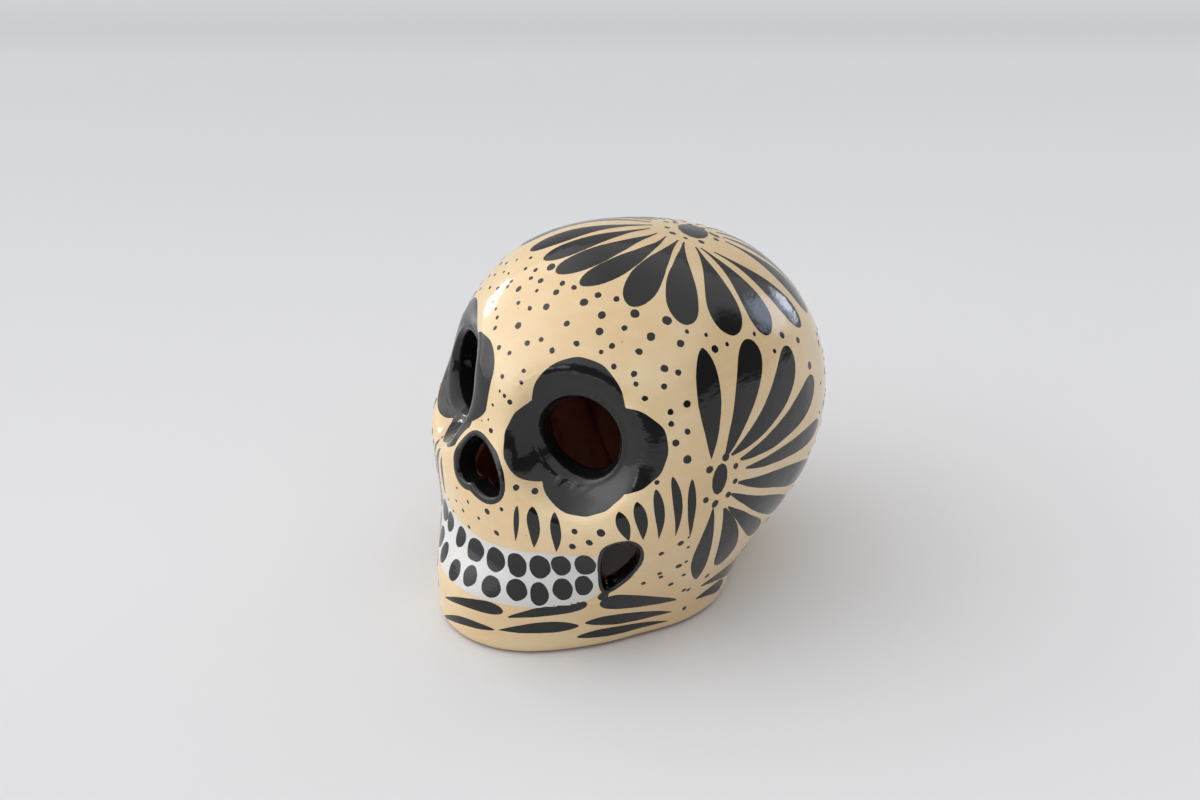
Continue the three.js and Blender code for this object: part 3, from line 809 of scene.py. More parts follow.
def unit_dot(name, sides):
    """A closed disc of radius 1 whose inner ring stands at its full height."""
    turns = 2 * math.pi * np.arange(sides) / sides
    ring = np.stack([np.cos(turns), np.sin(turns), 0 * turns], axis=-1)
    points = np.concatenate([np.zeros((1, 3)), ring * DOT_TOP, ring])
    i, after = np.arange(sides), (np.arange(sides) + 1) % sides
    inner, outer = 1 + i, 1 + sides + i
    next_inner, next_outer = 1 + after, 1 + sides + after
    fan = np.stack([0 * i, inner, next_inner], axis=-1)
    slopes = (inner, outer, next_outer), (inner, next_outer, next_inner)
    faces = np.concatenate([fan, *[np.stack(corners, axis=-1) for corners in slopes]])
    return finished_mark(name, points, faces, [k > sides for k in range(len(points))])


def finished_mark(name, points, faces, rim):
    height = np.where(rim, SLIP["rim"], 1.0)
    place = np.stack([points[:, 0], points[:, 1], height], axis=-1)
    sunk = place * (1, 1, 0) - (0, 0, 1)
    points, faces = sheet_between(points, points, faces)
    mesh = bpy.data.meshes.new(name)
    mesh.from_pydata(points.tolist(), [], faces)
    store(mesh, "place", np.concatenate([place, sunk]), "FLOAT_VECTOR")
    return add_object(name, mesh, None)


def petal_width(u):
    """A petal of the crown: a thin root, then ever fuller to a blunt round end."""
    return (0.05 + 0.95 * math.sin(math.pi / 2 * (u / 0.8) ** 1.6)) * (1 - u**14) ** 0.5


def drop_width(u):
    """A petal of the temple or a blunt stroke: it leaves its root at once and ends round."""
    return 1.22 * (u + 0.02) ** 0.7 * (1 - u**7) ** 0.5


def leaf_width(u):
    """A stroke of a pointed brush: fullest soon after its head, with a long thin tail."""
    return math.sin(math.pi * u**0.72) ** 0.85


def mark(root, tip, width, bow=0.0):
    """A mark from one place of the clay to another, in millimetres."""
    middle = settle((root + tip)[None] / 2, body)
    out = unit(slope(middle, body))[0]
    run = tip - root
    along = run - out * (run @ out)
    length = np.linalg.norm(along)
    return {"at": root, "out": out, "along": along / length, "size": (length, width / 2, bow)}


def seen_mark(root, tip, one_side, other_side):
    """A mark by its two ends and the sides of its fullest part, all in pixels of the photograph."""
    root, tip, one, other = photo_spots((root, tip, one_side, other_side))
    made = mark(root, tip, 0.0)
    length = made["size"][0]
    beside = np.cross(made["out"], made["along"])
    middle = (one + other) / 2 - root
    share = np.clip(middle @ made["along"] / length, 0.2, 0.8)
    bow = middle @ beside / (4 * share * (1 - share))
    return {**made, "size": (length, abs((one - other) @ beside) / 2, bow)}


def round_mark(at, width, height, turn=0.0):
    """A dot or an oval: its width runs level, unless it is turned."""
    out = unit(slope(at[None], body))[0]
    level = unit(np.cross((0.0, 0.0, 1.0), out) + np.array((0.0, TINY, 0.0)))
    up = np.cross(out, level)
    along = level * math.cos(turn) + up * math.sin(turn)
    return {"at": at, "out": out, "along": along, "size": (width / 2, height / 2, 0.0)}


def seen_oval(first, last, one_side, other_side):
    """An oval by its two ends and its two sides, in pixels of the photograph."""
    first, last, one, other = photo_spots((first, last, one_side, other_side))
    made = mark((first + last) / 2, last, 0.0)
    half = np.linalg.norm(last - first) / 2
    beside = np.cross(made["out"], made["along"])
    return {**made, "size": (half, abs((one - other) @ beside) / 2, 0.0)}


# The soft edge of a dot in the photograph hides a little of its width
DOT_SHOWN = 1.08


def seen_dots(dots, seed):
    """Dots by their places and widths in pixels of the photograph."""
    seeds = np.random.default_rng(seed)
    place = camera_axes()[0]
    made = []
    for spot, (_, _, width) in zip(photo_spots([dot[:2] for dot in dots]), dots):
        size = DOT_SHOWN * width * np.linalg.norm(spot - place) / FOCAL_PIXELS
        made.append(round_mark(spot, size, size * seeds.uniform(0.86, 1.06), seeds.uniform(-0.8, 0.8)))
    return made


def mirrored(marks):
    """The same marks on the other side of the skull."""
    flip = np.array([-1.0, 1.0, 1.0])
    made = []
    for given in marks:
        length, half_width, bow = given["size"]
        sides = {key: given[key] * flip for key in ("at", "out", "along")}
        made.append({**sides, "size": (length, half_width, -bow)})
    return made


def laid(name, marks, unit_object, seed, swing=0.2, swing_size=3.0, base=0.0):
    """Lays marks with the node tree and keeps the result as a plain mesh of black slip."""
    mesh = bpy.data.meshes.new(name)
    mesh.from_pydata(placed([m["at"] for m in marks]).tolist(), [], [])
    store(mesh, "out", [m["out"] for m in marks], "FLOAT_VECTOR")
    store(mesh, "along", [m["along"] for m in marks], "FLOAT_VECTOR")
    store(mesh, "size", [np.array(m["size"]) * MM for m in marks], "FLOAT_VECTOR")
    made = add_object(name, mesh, None, smooth=False)
    layer = made.modifiers.new("laid", "NODES")
    layer.node_group = LAYING
    inputs = {
        "Skin": SKIN,
        "Mark": unit_object,
        "Swing": swing * MM,
        "Swing Size": swing_size * MM,
        "Base": base * MM,
        "Seed": seed,
        "Slip": BLACK_SLIP,
    }
    for label, value in inputs.items():
        layer[LAYING.interface.items_tree[label].identifier] = value
    seen = made.evaluated_get(bpy.context.evaluated_depsgraph_get())
    whole = bpy.data.meshes.new_from_object(seen)
    made.modifiers.clear()
    made.data = whole
    whole.name = name
    whole.polygons.foreach_set("use_smooth", [True] * len(whole.polygons))
    points = np.array([v.co for v in whole.vertices]) / MM - SHIFT
    shade_by(whole, clay, points)
    return made


# Flowers: a chart round each centre, with lengths along the face and turns about the centre


def flower_chart(centre, ahead, sideways):
    arm = centre - MIDDLE
    radius = np.linalg.norm(arm)
    axis = arm / radius
    forward = unit(ahead - axis * (ahead @ axis))
    across = sideways - axis * (sideways @ axis)
    across = unit(across - forward * (across @ forward))

    def spot(length, degrees):
        turn, angle = math.radians(degrees), length / radius
        way = axis * math.cos(angle) + (forward * math.cos(turn) + across * math.sin(turn)) * math.sin(angle)
        return cast(MIDDLE, way)[0]

    return spot


AHEAD, UPWARD = np.array([0.0, -1.0, 0.0]), np.array([0.0, 0.0, 1.0])
BACK, LEFT = -AHEAD, np.array([1.0, 0.0, 0.0])
CROWN_AT = cast((3.0, 6.5, MIDDLE[2]), UPWARD)[0]
CROWN = flower_chart(CROWN_AT, AHEAD, LEFT)

# Petals of the crown flower as the photograph shows them: root, tip and both sides of the fullest part
SEEN_CROWN_PETALS = (
    ((652, 225), (530.5, 251), (554.5, 235), (559, 244)),
    ((650, 228), (543.6, 260), (559.5, 246.5), (566, 259)),
    ((657, 233), (556.5, 273), (582.5, 250.5), (592, 268.5)),
    ((666, 236), (581, 285.5), (600, 263), (612, 282)),
    ((678.5, 240), (630, 306), (625, 281), (655, 296)),
    ((684, 242), (684, 324.5), (664.5, 299), (699.7, 300)),
    ((696, 247), (731, 335.5), (707, 306), (738, 304)),
    ((701, 248), (768, 335), (745, 311), (763, 300)),
    ((714, 252), (801, 326), (773, 303), (786, 296)),
)
# The others: the turn of each about the centre, how far out it reaches and its width
HIDDEN_CROWN_PETALS = (
    (143, 33.3, 7.2),
    (160, 34.0, 7.4),
    (176.5, 34.3, 7.4),
    (193.5, 34.3, 7.4),
    (210, 34.3, 7.4),
    (227, 34.0, 7.4),
    (244, 34.0, 7.4),
    (261, 34.3, 7.4),
    (277.5, 35.0, 7.4),
    (294.5, 36.4, 7.4),
    (312.5, 39.0, 7.8),
)
CROWN_ROOT = 8.6
CROWN_OVAL = ((678, 226), (708, 236), (691, 236.5), (695, 225.5))
SEEN_CROWN_RING = (
    (667, 227.5, 6), (672.5, 233, 7), (685.5, 238, 5), (701.5, 242, 7), (716, 236, 7), (675, 223, 5),
)
HIDDEN_CROWN_RING = ((135, 6.4), (164, 6.0), (192, 6.5), (221, 6.2), (250, 6.6), (279, 6.1))

# Petals of the left temple flower, read in the same way. Its first and last are pointed leaves
TEMPLE_LEAVES = (
    ((702, 348), (711.5, 459), (695, 380), (720.5, 388)),
    ((696.5, 579), (713.5, 506), (696.2, 548), (711.8, 546)),
)
SEEN_TEMPLE_PETALS = (
    ((725, 457), (751, 340), (736.5, 367), (763, 369)),
    ((731, 455), (790, 348), (774, 371), (797, 378)),
    ((740, 460), (814, 378), (796, 395), (811, 408)),
    ((746, 468), (818, 422), (798, 434), (805, 446.5)),
    ((728, 506.5), (757, 530), (763, 520.5), (747, 536)),
    ((724, 508), (722, 562), (715.5, 548), (738, 543)),
)
# The petals that turn out of sight: the turn of root and tip, the reach, the width and the bow
HIDDEN_TEMPLE_PETALS = (
    (120, 112, 41.0, 6.6, 0.3),
    (148, 127, 38.0, 5.8, -0.2),
)
TEMPLE = {"y": -18.9, "z": 44.0, "root": 5.8}
TEMPLE_OVAL = ((722, 463), (717, 494.5), (712, 480), (727, 478))
TEMPLE_RING = (
    (709.5, 469.5, 7.5), (735.5, 466, 6.5), (735, 481, 6.5), (728, 494.5, 7),
    (715, 503.5, 8.5), (705.7, 500, 6.5), (725.7, 457, 8.5),
)


def crown_marks():
    petals = [seen_mark(*row) for row in SEEN_CROWN_PETALS]
    for turn, reach, width in HIDDEN_CROWN_PETALS:
        petals.append(mark(CROWN(CROWN_ROOT, turn), CROWN(reach, turn), width))
    centre = [seen_oval(*CROWN_OVAL)] + seen_dots(SEEN_CROWN_RING, 3)
    seeds = np.random.default_rng(4)
    for turn, length in HIDDEN_CROWN_RING:
        width = seeds.uniform(1.0, 1.5)
        centre.append(round_mark(CROWN(length, turn), width, width * seeds.uniform(0.85, 1.1)))
    return petals, centre


def temple_marks():
    chart = flower_chart(cast((0.0, TEMPLE["y"], TEMPLE["z"]), LEFT)[0], UPWARD, BACK)
    drops = [seen_mark(*row) for row in SEEN_TEMPLE_PETALS]
    for root, tip, reach, width, bow in HIDDEN_TEMPLE_PETALS:
        drops.append(mark(chart(TEMPLE["root"], root), chart(reach, tip), width, bow))
    leaves = [seen_mark(*row) for row in TEMPLE_LEAVES]
    return drops, leaves, [seen_oval(*TEMPLE_OVAL)] + seen_dots(TEMPLE_RING, 5)


# Teeth: ovals in two rows, each by its turn from straight ahead, height, and own width and height
UPPER_TEETH = (
    (-41.0, 26.6, 4.2, 5.4), (-34.5, 25.5, 4.6, 5.6), (-27.0, 24.3, 4.7, 5.6), (-19.8, 23.3, 4.8, 5.4),
    (-14.0, 22.8, 3.6, 5.0), (-6.2, 22.2, 3.8, 5.1), (1.6, 21.9, 5.4, 5.2), (9.9, 22.2, 5.1, 5.6),
    (17.5, 22.8, 4.8, 5.9), (24.9, 23.7, 4.8, 6.0), (31.5, 25.0, 4.4, 5.4), (39.0, 26.0, 4.7, 5.8),
)
LOWER_TEETH = (
    (-39.6, 20.1, 4.0, 5.4), (-33.0, 19.0, 4.4, 5.4), (-26.0, 17.7, 4.6, 5.2), (-18.6, 17.0, 4.6, 5.2),
    (-12.0, 16.2, 3.9, 5.2), (-3.3, 15.9, 3.8, 5.3), (3.1, 16.8, 3.9, 4.8), (10.6, 16.5, 4.8, 5.0),
    (18.3, 17.2, 4.8, 5.0), (25.0, 17.0, 4.2, 5.7), (31.8, 18.7, 4.3, 5.7), (38.2, 20.0, 3.9, 5.6),
)


def tooth_marks():
    seeds = np.random.default_rng(17)
    made = []
    for turn, z, width, height in UPPER_TEETH + LOWER_TEETH:
        made.append(round_mark(on_wall(math.radians(turn), z), width, height, seeds.uniform(-0.12, 0.12)))
    return made


# Strokes of the cheek, each from its full head to its thin tail, with both sides of its fullest part
CHEEK_STROKES = (
    ((517, 506), (515.5, 541), (513, 522), (519, 520)),
    ((532, 507), (534, 547.5), (526.5, 520), (539.5, 521)),
    ((554.5, 513), (556, 552), (550, 528), (561, 529)),
    ((619, 512), (629, 541), (615, 521), (627.5, 518)),
    ((637, 502), (643, 540), (634, 516), (648, 520)),
    ((656, 490), (659, 539), (654, 508), (665, 514)),
    ((673, 477), (675, 536), (673, 502), (682.7, 503)),
    ((692, 479.5), (690, 537), (687.5, 502), (695.8, 498)),
)
# Strokes of the jaw and chin: the thin end, the full end and the width, first the blunt ones.
# The third is the run of slip from the slot down to the stroke below it
BLUNT_JAW_STROKES = (
    ((508, 617), (587, 604), 13),
    ((676, 600), (600, 602.5), 16),
    ((609, 587), (600.5, 600), 9),
    ((701, 586), (736, 563), 7),
    ((696, 599), (722, 583), 8),
)
POINTED_JAW_STROKES = (
    ((579, 626), (498, 630), 11),
    ((585, 623), (672, 612), 10),
    ((577, 637), (668, 621), 8),
)
BLUNT_CHIN_STROKE = ((446, 597), (503, 611), 13)
POINTED_CHIN_STROKE = ((495, 630), (443, 616), 8)
# How far along a stroke its fullest part lies
BLUNT_FULLEST, POINTED_FULLEST = 0.75, 0.38
# Strokes of the nape: two turns and heights, and a width
NAPE_STROKES = (
    (108.0, 13.0, 126.0, 15.5, 1.9),
    (108.0, 7.6, 130.0, 10.2, 2.0),
)


def seen_stroke(first, last, width, fullest):
    """A stroke of the photograph by its ends, and its width at its fullest part."""
    first, last = np.array(first, float), np.array(last, float)
    middle, run = first + (last - first) * fullest, unit(last - first)
    side = np.array([-run[1], run[0]]) * width / 2
    return seen_mark(first, last, middle + side, middle - side)


def wall_mark(row):
    turn, z, last_turn, last_z, width = row
    return mark(on_wall(math.radians(turn), z), on_wall(math.radians(last_turn), last_z), width)


def stroke_marks():
    """The strokes on both sides: first those that end round, then those that end in a point."""
    blunt = [seen_stroke(*row, BLUNT_FULLEST) for row in BLUNT_JAW_STROKES]
    pointed = [seen_mark(*row) for row in CHEEK_STROKES]
    pointed += [seen_stroke(*row, POINTED_FULLEST) for row in POINTED_JAW_STROKES]
    pointed += [wall_mark(row) for row in NAPE_STROKES]
    chin_blunt = seen_stroke(*BLUNT_CHIN_STROKE, BLUNT_FULLEST)
    chin_pointed = seen_stroke(*POINTED_CHIN_STROKE, POINTED_FULLEST)
    return blunt + mirrored(blunt) + [chin_blunt], pointed + mirrored(pointed) + [chin_pointed]


# Dots of the cream ground that the photograph shows: place and width
SEEN_DOTS = (
    (517, 260, 3), (531, 258, 4), (551, 267, 9), (525.5, 269, 4.5), (535.5, 270, 5),
    (531, 278, 5), (540.5, 280.5, 6), (511, 281.5, 5), (507.5, 286.5, 5), (518.5, 289, 6.5),
    (536.5, 290.5, 4), (562.5, 283, 6), (574, 287.5, 6), (556, 292, 6.5), (598, 295, 6.5),
    (490, 287.5, 4), (497.5, 288, 4), (480.5, 289, 4), (493, 301, 4.5), (495.5, 308.5, 3.5),
    (497, 317.5, 5), (495, 328, 4.5), (499, 347.5, 5), (509.5, 353, 4.5), (518, 325.5, 7),
    (527, 343, 6), (541, 339.5, 5), (552, 350.5, 6), (566.5, 323.5, 6), (576.5, 343.5, 6.5),
    (584, 302, 8.5), (546, 306.5, 7), (529.5, 308, 5.5), (518, 303, 4.5), (523.5, 371, 4.5),
    (521, 382.5, 4.5), (502.5, 376.5, 5), (500, 391, 3), (504.5, 396, 4), (504, 272, 3),
    (508.5, 273.5, 3), (495, 275, 4), (490, 276, 4), (506.5, 263.5, 4), (616.5, 299, 6),
    (602, 315, 7.5), (624.5, 328, 6), (599.5, 331.5, 7.5), (612, 346, 6), (601, 352, 4.5),
    (614, 366.5, 5.5), (634, 374, 6), (636, 384, 5), (639, 351.5, 7), (651, 336.5, 8.5),
    (635, 313.5, 9), (667, 320.5, 9.5), (687, 331.5, 4.5), (680.5, 343.5, 7.5), (706, 335, 4.5),
    (715, 349, 8), (664.5, 368.5, 8), (678, 372.5, 6), (664, 386.5, 6), (645, 398.5, 5.5),
    (687, 404, 7.5), (670.5, 412, 6), (671.5, 424, 6), (687.5, 431.5, 6.5), (676, 443, 7),
    (687.5, 459.5, 8.5), (657, 482.5, 5), (493, 405, 3.5), (482, 420.5, 2), (488.5, 419.5, 2.5),
    (491, 430.5, 5.5), (510, 402, 5.5), (531, 402.5, 4.5), (516, 487.5, 6), (535, 491, 7),
    (456.5, 488, 3), (442.5, 437.5, 3.5), (456, 501, 3), (448, 499.5, 2), (467.5, 502, 4),
    (462.5, 510.5, 4), (453, 511, 3), (478.5, 518.5, 4), (487, 511.5, 6.5), (501.5, 509.5, 4.5),
    (468.5, 527, 4.5), (496.5, 533, 6.5), (574.5, 531.5, 6), (589.5, 542.5, 6.5), (572.5, 546.5, 7),
    (601, 533, 8.5), (661.5, 554, 6), (681, 543.5, 7), (689, 537.5, 3), (688.5, 547.5, 3.5),
    (679, 566.5, 7), (686.5, 562, 4), (684, 575, 4.5), (660, 574, 5), (661, 577.5, 5),
    (643.5, 583.5, 5), (671, 584.5, 5.5), (684, 590.5, 5), (688.5, 590, 5), (684.5, 608.5, 5),
    (707, 576, 6), (727, 344, 4.5), (754, 334, 5), (774.5, 351, 5), (782, 335, 7),
    (798, 340, 7), (810, 365.5, 8.5), (817, 334, 4), (824, 359, 4), (821, 383, 3),
    (825, 395, 4), (819.5, 412.5, 3),
)
# The dots of the sides out of sight, strewn over the points this close to the face
DOTS = {"gap": 3.9, "tries": 5200, "least": 1.0, "most": 2.0, "clearance": 0.7, "lowest": 17.0, "close": 0.25}
# A place is out of sight where it leans this little to the camera, or where clay stands before it
SIGHT = {"facing": 0.16, "step": 4, "reach": 48}


# A mark longer than this many of its half widths is kept clear along its run, any other about its middle
LONG_MARK, LEAST_KEPT = 3, 0.5


def keeps(marks):
    """The middle line and half width of each mark, as ground that dots stay off."""
    starts, along = (np.array([m[key] for m in marks]) for key in ("at", "along"))
    length, half_width, _ = np.array([m["size"] for m in marks]).T
    runs = along * np.where(length > LONG_MARK * half_width, length, 0.0)[:, None]
    return starts, starts + runs, np.maximum(half_width, LEAST_KEPT)


def out_of_sight(p):
    """Whether the camera fails to see each point of the clay's face."""
    way = unit(camera_axes()[0] - p)
    turned = (unit(slope(p, body)) * way).sum(-1) < SIGHT["facing"]
    covered = [body(p + way * reach) < 0 for reach in range(SIGHT["step"], SIGHT["reach"], SIGHT["step"])]
    return turned | np.any(covered, axis=0)


def scattered_marks(marks):
    """Dots strewn over the bare cream ground out of sight, clear of every other mark."""
    seeds = np.random.default_rng(23)
    ground = CLAY_POINTS[np.abs(body(CLAY_POINTS)) < DOTS["close"]]
    ground = ground[seeds.permutation(len(ground))[: DOTS["tries"]]]
    ground = ground[out_of_sight(ground)]
    masks = [made(side) for made in (eye_flower_mask, slot_mask) for side in (1, -1)]
    masks += [nose_mask, tooth_band_mask]
    room = np.minimum.reduce([mask(ground) for mask in masks] + [ground[:, 2] - DOTS["lowest"]])
    ground = ground[room > DOTS["clearance"] + DOTS["least"] / 2]
    starts, ends, radii = keeps(marks)
    side = ends - starts
    square = np.maximum((side**2).sum(-1), TINY)
    kept, made = [], []
    for p in ground:
        share = np.clip(((p - starts) * side).sum(-1) / square, 0, 1)
        away = np.linalg.norm(p - starts - side * share[:, None], axis=1) - radii
        size = seeds.uniform(DOTS["least"], DOTS["most"])
        if away.min() < size / 2 + DOTS["clearance"]:
            continue
        # The first dot draws no gap, because there is none before it
        if kept:
            gap = DOTS["gap"] * seeds.uniform(0.75, 1.25)
            if np.linalg.norm(np.array(kept) - p, axis=1).min() < gap:
                continue
        kept.append(p)
        made.append(round_mark(p, size, size * seeds.uniform(0.8, 1.05), seeds.uniform(-0.8, 0.8)))
    return made


# Finishes. All of them read Object coordinates, so the glaze runs on unbroken from clay to slip


def hand_glaze_group():
    """The skin of clear glaze: slow waves of the hand and brush, a fine grain and a few pinholes."""
    inputs = (
        ("Wave", "NodeSocketFloat", 1.0),
        ("Grain", "NodeSocketFloat", 1.0),
        ("Roughness", "NodeSocketFloat", 0.1),
    )
    outputs = (("Height", "NodeSocketFloat"), ("Roughness", "NodeSocketFloat"))
    tree = new_tree("hand_glaze", "ShaderNodeTree", inputs, outputs)
    add = Nodes(tree)
    given = add("NodeGroupInput").outputs
    place = add("ShaderNodeTexCoord").outputs["Object"]
    slow = add.noise(place, 95.0, 2.0)
    brushed = add("ShaderNodeMapping", {"Vector": place, "Scale": (1.0, 1.0, 3.2)}).outputs[0]
    strokes = add.noise(brushed, 210.0, 3.0)
    grain = add.noise(place, 1500.0, 2.0)
    cells = add("ShaderNodeTexVoronoi", {"Vector": place, "Scale": 240.0}).outputs["Distance"]
    pits = add.ramp(cells, 0.11, 0.05)
    patch = add.noise(place, 60.0, 2.0)
    holes = add.math("MULTIPLY", pits, add.ramp(patch, 0.56, 0.62))
    dimples = add.noise(place, 480.0, 1.0)
    wave = add.math("ADD", slow, add.math("MULTIPLY", strokes, 0.35))
    wave = add.math("MULTIPLY", add.math("ADD", wave, add.math("MULTIPLY", dimples, 0.12)), given["Wave"])
    fine = add.math("MULTIPLY", add.math("MULTIPLY", grain, 0.02), given["Grain"])
    height = add.math("SUBTRACT", add.math("ADD", wave, fine), add.math("MULTIPLY", holes, 0.06))
    streaks = add.math("MULTIPLY", add.math("SUBTRACT", strokes, 0.5), 0.12)
    rough = add.math("ADD", add.math("ADD", given["Roughness"], streaks), add.math("MULTIPLY", holes, 0.3))
    add("NodeGroupOutput", {"Height": height, "Roughness": rough})
    return tree


def fired_colour_group():
    """Clouds, brush streaks and specks that firing leaves in a colour."""
    inputs = (
        ("Colour", "NodeSocketColor", (0.5, 0.5, 0.5, 1.0)),
        ("Warm", "NodeSocketColor", (0.4, 0.3, 0.2, 1.0)),
        ("Pale", "NodeSocketColor", (0.6, 0.6, 0.6, 1.0)),
        ("Speck", "NodeSocketColor", (0.2, 0.1, 0.05, 1.0)),
        ("Cloud", "NodeSocketFloat", 0.5),
        ("Specks", "NodeSocketFloat", 0.5),
    )
    tree = new_tree("fired_colour", "ShaderNodeTree", inputs, (("Colour", "NodeSocketColor"),))
    add = Nodes(tree)
    given = add("NodeGroupInput").outputs
    place = add("ShaderNodeTexCoord").outputs["Object"]
    cloud = add.noise(place, 42.0, 4.0, 0.6)
    warm, pale = add.ramp(cloud, 0.45, 0.75), add.ramp(cloud, 0.5, 0.25)
    brush = {"Vector": place, "Scale": (0.8, 0.6, 3.0), "Rotation": (0.4, 0.2, 0.0)}
    streak = add.noise(add("ShaderNodeMapping", brush).outputs[0], 160.0, 5.0, 0.65)
    streak = add.math("MULTIPLY", add.ramp(streak, 0.52, 0.72), add.math("MULTIPLY", given["Cloud"], 0.6))
    cells = add("ShaderNodeTexVoronoi", {"Vector": place, "Scale": 330.0, "Randomness": 1.0}).outputs
    pick = add("ShaderNodeSeparateColor", {0: cells["Color"]}).outputs[0]
    spot = add.math("MULTIPLY", add.ramp(cells["Distance"], 0.1, 0.04), add.math("GREATER_THAN", pick, 0.93))

    colour = add.mixed(add.math("MULTIPLY", warm, given["Cloud"]), given["Colour"], given["Warm"])
    colour = add.mixed(add.math("MULTIPLY", pale, given["Cloud"]), colour, given["Pale"])
    colour = add.mixed(streak, colour, given["Pale"])
    colour = add.mixed(add.math("MULTIPLY", spot, given["Specks"]), colour, given["Speck"])
    add("NodeGroupOutput", {0: colour})
    return tree


GLAZE, FIRED = hand_glaze_group(), fired_colour_group()

# The clear glaze: how strongly it mirrors, how rough it is and how deep its waves are, in metres
GLAZE_IOR, GLAZE_ROUGHNESS, GLAZE_RELIEF = 1.5, 0.1, 0.0002


def new_material(name):
    made = bpy.data.materials.new(name)
    made.use_nodes = True
    made.node_tree.nodes.clear()
    add = Nodes(made.node_tree)
    shader = add("ShaderNodeBsdfPrincipled", {"IOR": GLAZE_IOR})
    add("ShaderNodeOutputMaterial", {"Surface": shader.outputs[0]})
    return made, add, shader


def group(add, tree, **values):
    return add("ShaderNodeGroup", values, node_tree=tree).outputs


def covered_by(add, shader, colour, roughness, **bump):
    """Gives a material's shader its colour, roughness and relief."""
    add.tree.links.new(colour, shader.inputs["Base Color"])
    add.tree.links.new(roughness, shader.inputs["Roughness"])
    add.tree.links.new(add("ShaderNodeBump", bump).outputs[0], shader.inputs["Normal"])


def rgb(red, green, blue):
    """A colour as a picture shows it, made linear."""
    channels = [v / 255 for v in (red, green, blue)]
    return (*[v / 12.92 if v < 0.04045 else ((v + 0.055) / 1.055) ** 2.4 for v in channels], 1.0)


CREAM = {"Colour": rgb(227, 200, 157), "Warm": rgb(220, 187, 139), "Pale": rgb(233, 213, 177)}
BLACK = {"Colour": rgb(18, 18, 20), "Warm": rgb(23, 20, 18), "Pale": rgb(26, 27, 30)}
WHITE = {"Colour": rgb(214, 213, 211), "Warm": rgb(204, 200, 192), "Pale": rgb(222, 222, 223)}
CLAY_RED = {"Colour": rgb(150, 84, 62), "Warm": rgb(124, 62, 44), "Pale": rgb(170, 106, 82)}


def slip_material(name, colours, cloud, specks):
    """Coloured slip under the clear glaze."""
    made, add, shader = new_material(name)
    colour = group(add, FIRED, **colours, Cloud=cloud, Specks=specks)[0]
    glaze = group(add, GLAZE, Wave=1.0, Roughness=GLAZE_ROUGHNESS)
    covered_by(add, shader, colour, glaze["Roughness"], Height=glaze["Height"], Distance=GLAZE_RELIEF)
    return made


def pot_material():
    """Cream slip under glaze outside, bare red clay inside and where the foot was wiped."""
    made, add, shader = new_material("glazed_and_bare_clay")
    bare = add("ShaderNodeAttribute", attribute_name="bare").outputs["Fac"]
    place = add("ShaderNodeTexCoord").outputs["Object"]
    ragged = add.math("SUBTRACT", add.noise(place, 420.0, 4.0), 0.5)
    bare = add.ramp(add.math("ADD", bare, add.math("MULTIPLY", ragged, 0.5)), 0.42, 0.58)
    cream = group(add, FIRED, **CREAM, Cloud=0.75, Specks=0.5)[0]
    red = group(add, FIRED, **CLAY_RED, Cloud=1.0, Specks=0.8)[0]
    glaze = group(add, GLAZE, Wave=1.0, Roughness=GLAZE_ROUGHNESS)
    rough = add.math("ADD", glaze["Roughness"], add.math("MULTIPLY", bare, 0.7))
    grit = add.math("MULTIPLY", add.math("MULTIPLY", add.noise(place, 900.0, 6.0, 0.7), bare), 1.2)
    height = add.math("ADD", glaze["Height"], grit)
    covered_by(add, shader, add.mixed(bare, cream, red), rough, Height=height, Distance=GLAZE_RELIEF)
    return made


def coil_material():
    """Bare clay with the grain that fingers leave in it."""
    made, add, shader = new_material("bare_pressed_clay")
    place = add("ShaderNodeTexCoord").outputs["Object"]
    colour = group(add, FIRED, **CLAY_RED, Cloud=1.0, Specks=0.8)[0]
    grit = add.noise(place, 700.0, 6.0, 0.7)
    rough = add("ShaderNodeMapRange", {"Value": grit, "To Min": 0.75, "To Max": 0.95}).outputs[0]
    covered_by(add, shader, colour, rough, Height=grit, Distance=0.0004, Strength=0.6)
    return made


POT = pot_material()
BLACK_SLIP = slip_material("black_slip_under_glaze", BLACK, cloud=0.8, specks=0.0)
WHITE_SLIP = slip_material("white_slip_under_glaze", WHITE, cloud=0.6, specks=0.3)
BARE_CLAY = coil_material()

# The pot itself. It is bare from this far above its inner face, and where the foot was wiped

BARE = {"from": 2.2, "fades": 0.6, "wiped": 1.1, "wiped_fades": 0.9}
LOW = tuple(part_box("face_shell")[0][i] / MM - SHIFT[i] - 3 * PITCH for i in range(3))
HIGH = (
    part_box("face_shell")[1].x / MM + 3 * PITCH,
    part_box("cranium_shell")[1].y / MM - SHIFT[1] + 3 * PITCH,
    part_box("face_shell")[1].z / MM + 3 * PITCH,
)
CLAY_POINTS, CLAY_QUADS = net_skin(clay, LOW, HIGH, PITCH)
CLAY_POINTS = relaxed(CLAY_POINTS, CLAY_QUADS, clay)
CLAY_FACES = np.concatenate([CLAY_QUADS[:, [0, 1, 2]], CLAY_QUADS[:, [0, 2, 3]]])


def pot():
    mesh = mesh_of("glazed_skull", CLAY_POINTS, CLAY_QUADS.tolist())
    made = add_object("glazed_skull", mesh, POT)
    shade_by(mesh, clay, CLAY_POINTS)
    inner = np.clip((-body(CLAY_POINTS) - WALL + BARE["from"]) / BARE["fades"], 0, 1)
    wiped = np.clip((BARE["wiped"] - CLAY_POINTS[:, 2]) / BARE["wiped_fades"], 0, 1)
    store(mesh, "bare", np.maximum(inner, wiped))
    return made


# The coil is sunk a little into the wall, and finger marks run along it in waves
COIL = {"width": 9.0, "thickness": 3.0, "sunk": 0.1, "foot_clearance": 3.0, "steps": 150, "columns": 12}
DENTS = {"share": 0.25, "pace": 0.42, "drift_pace": 0.13, "drift": 2}


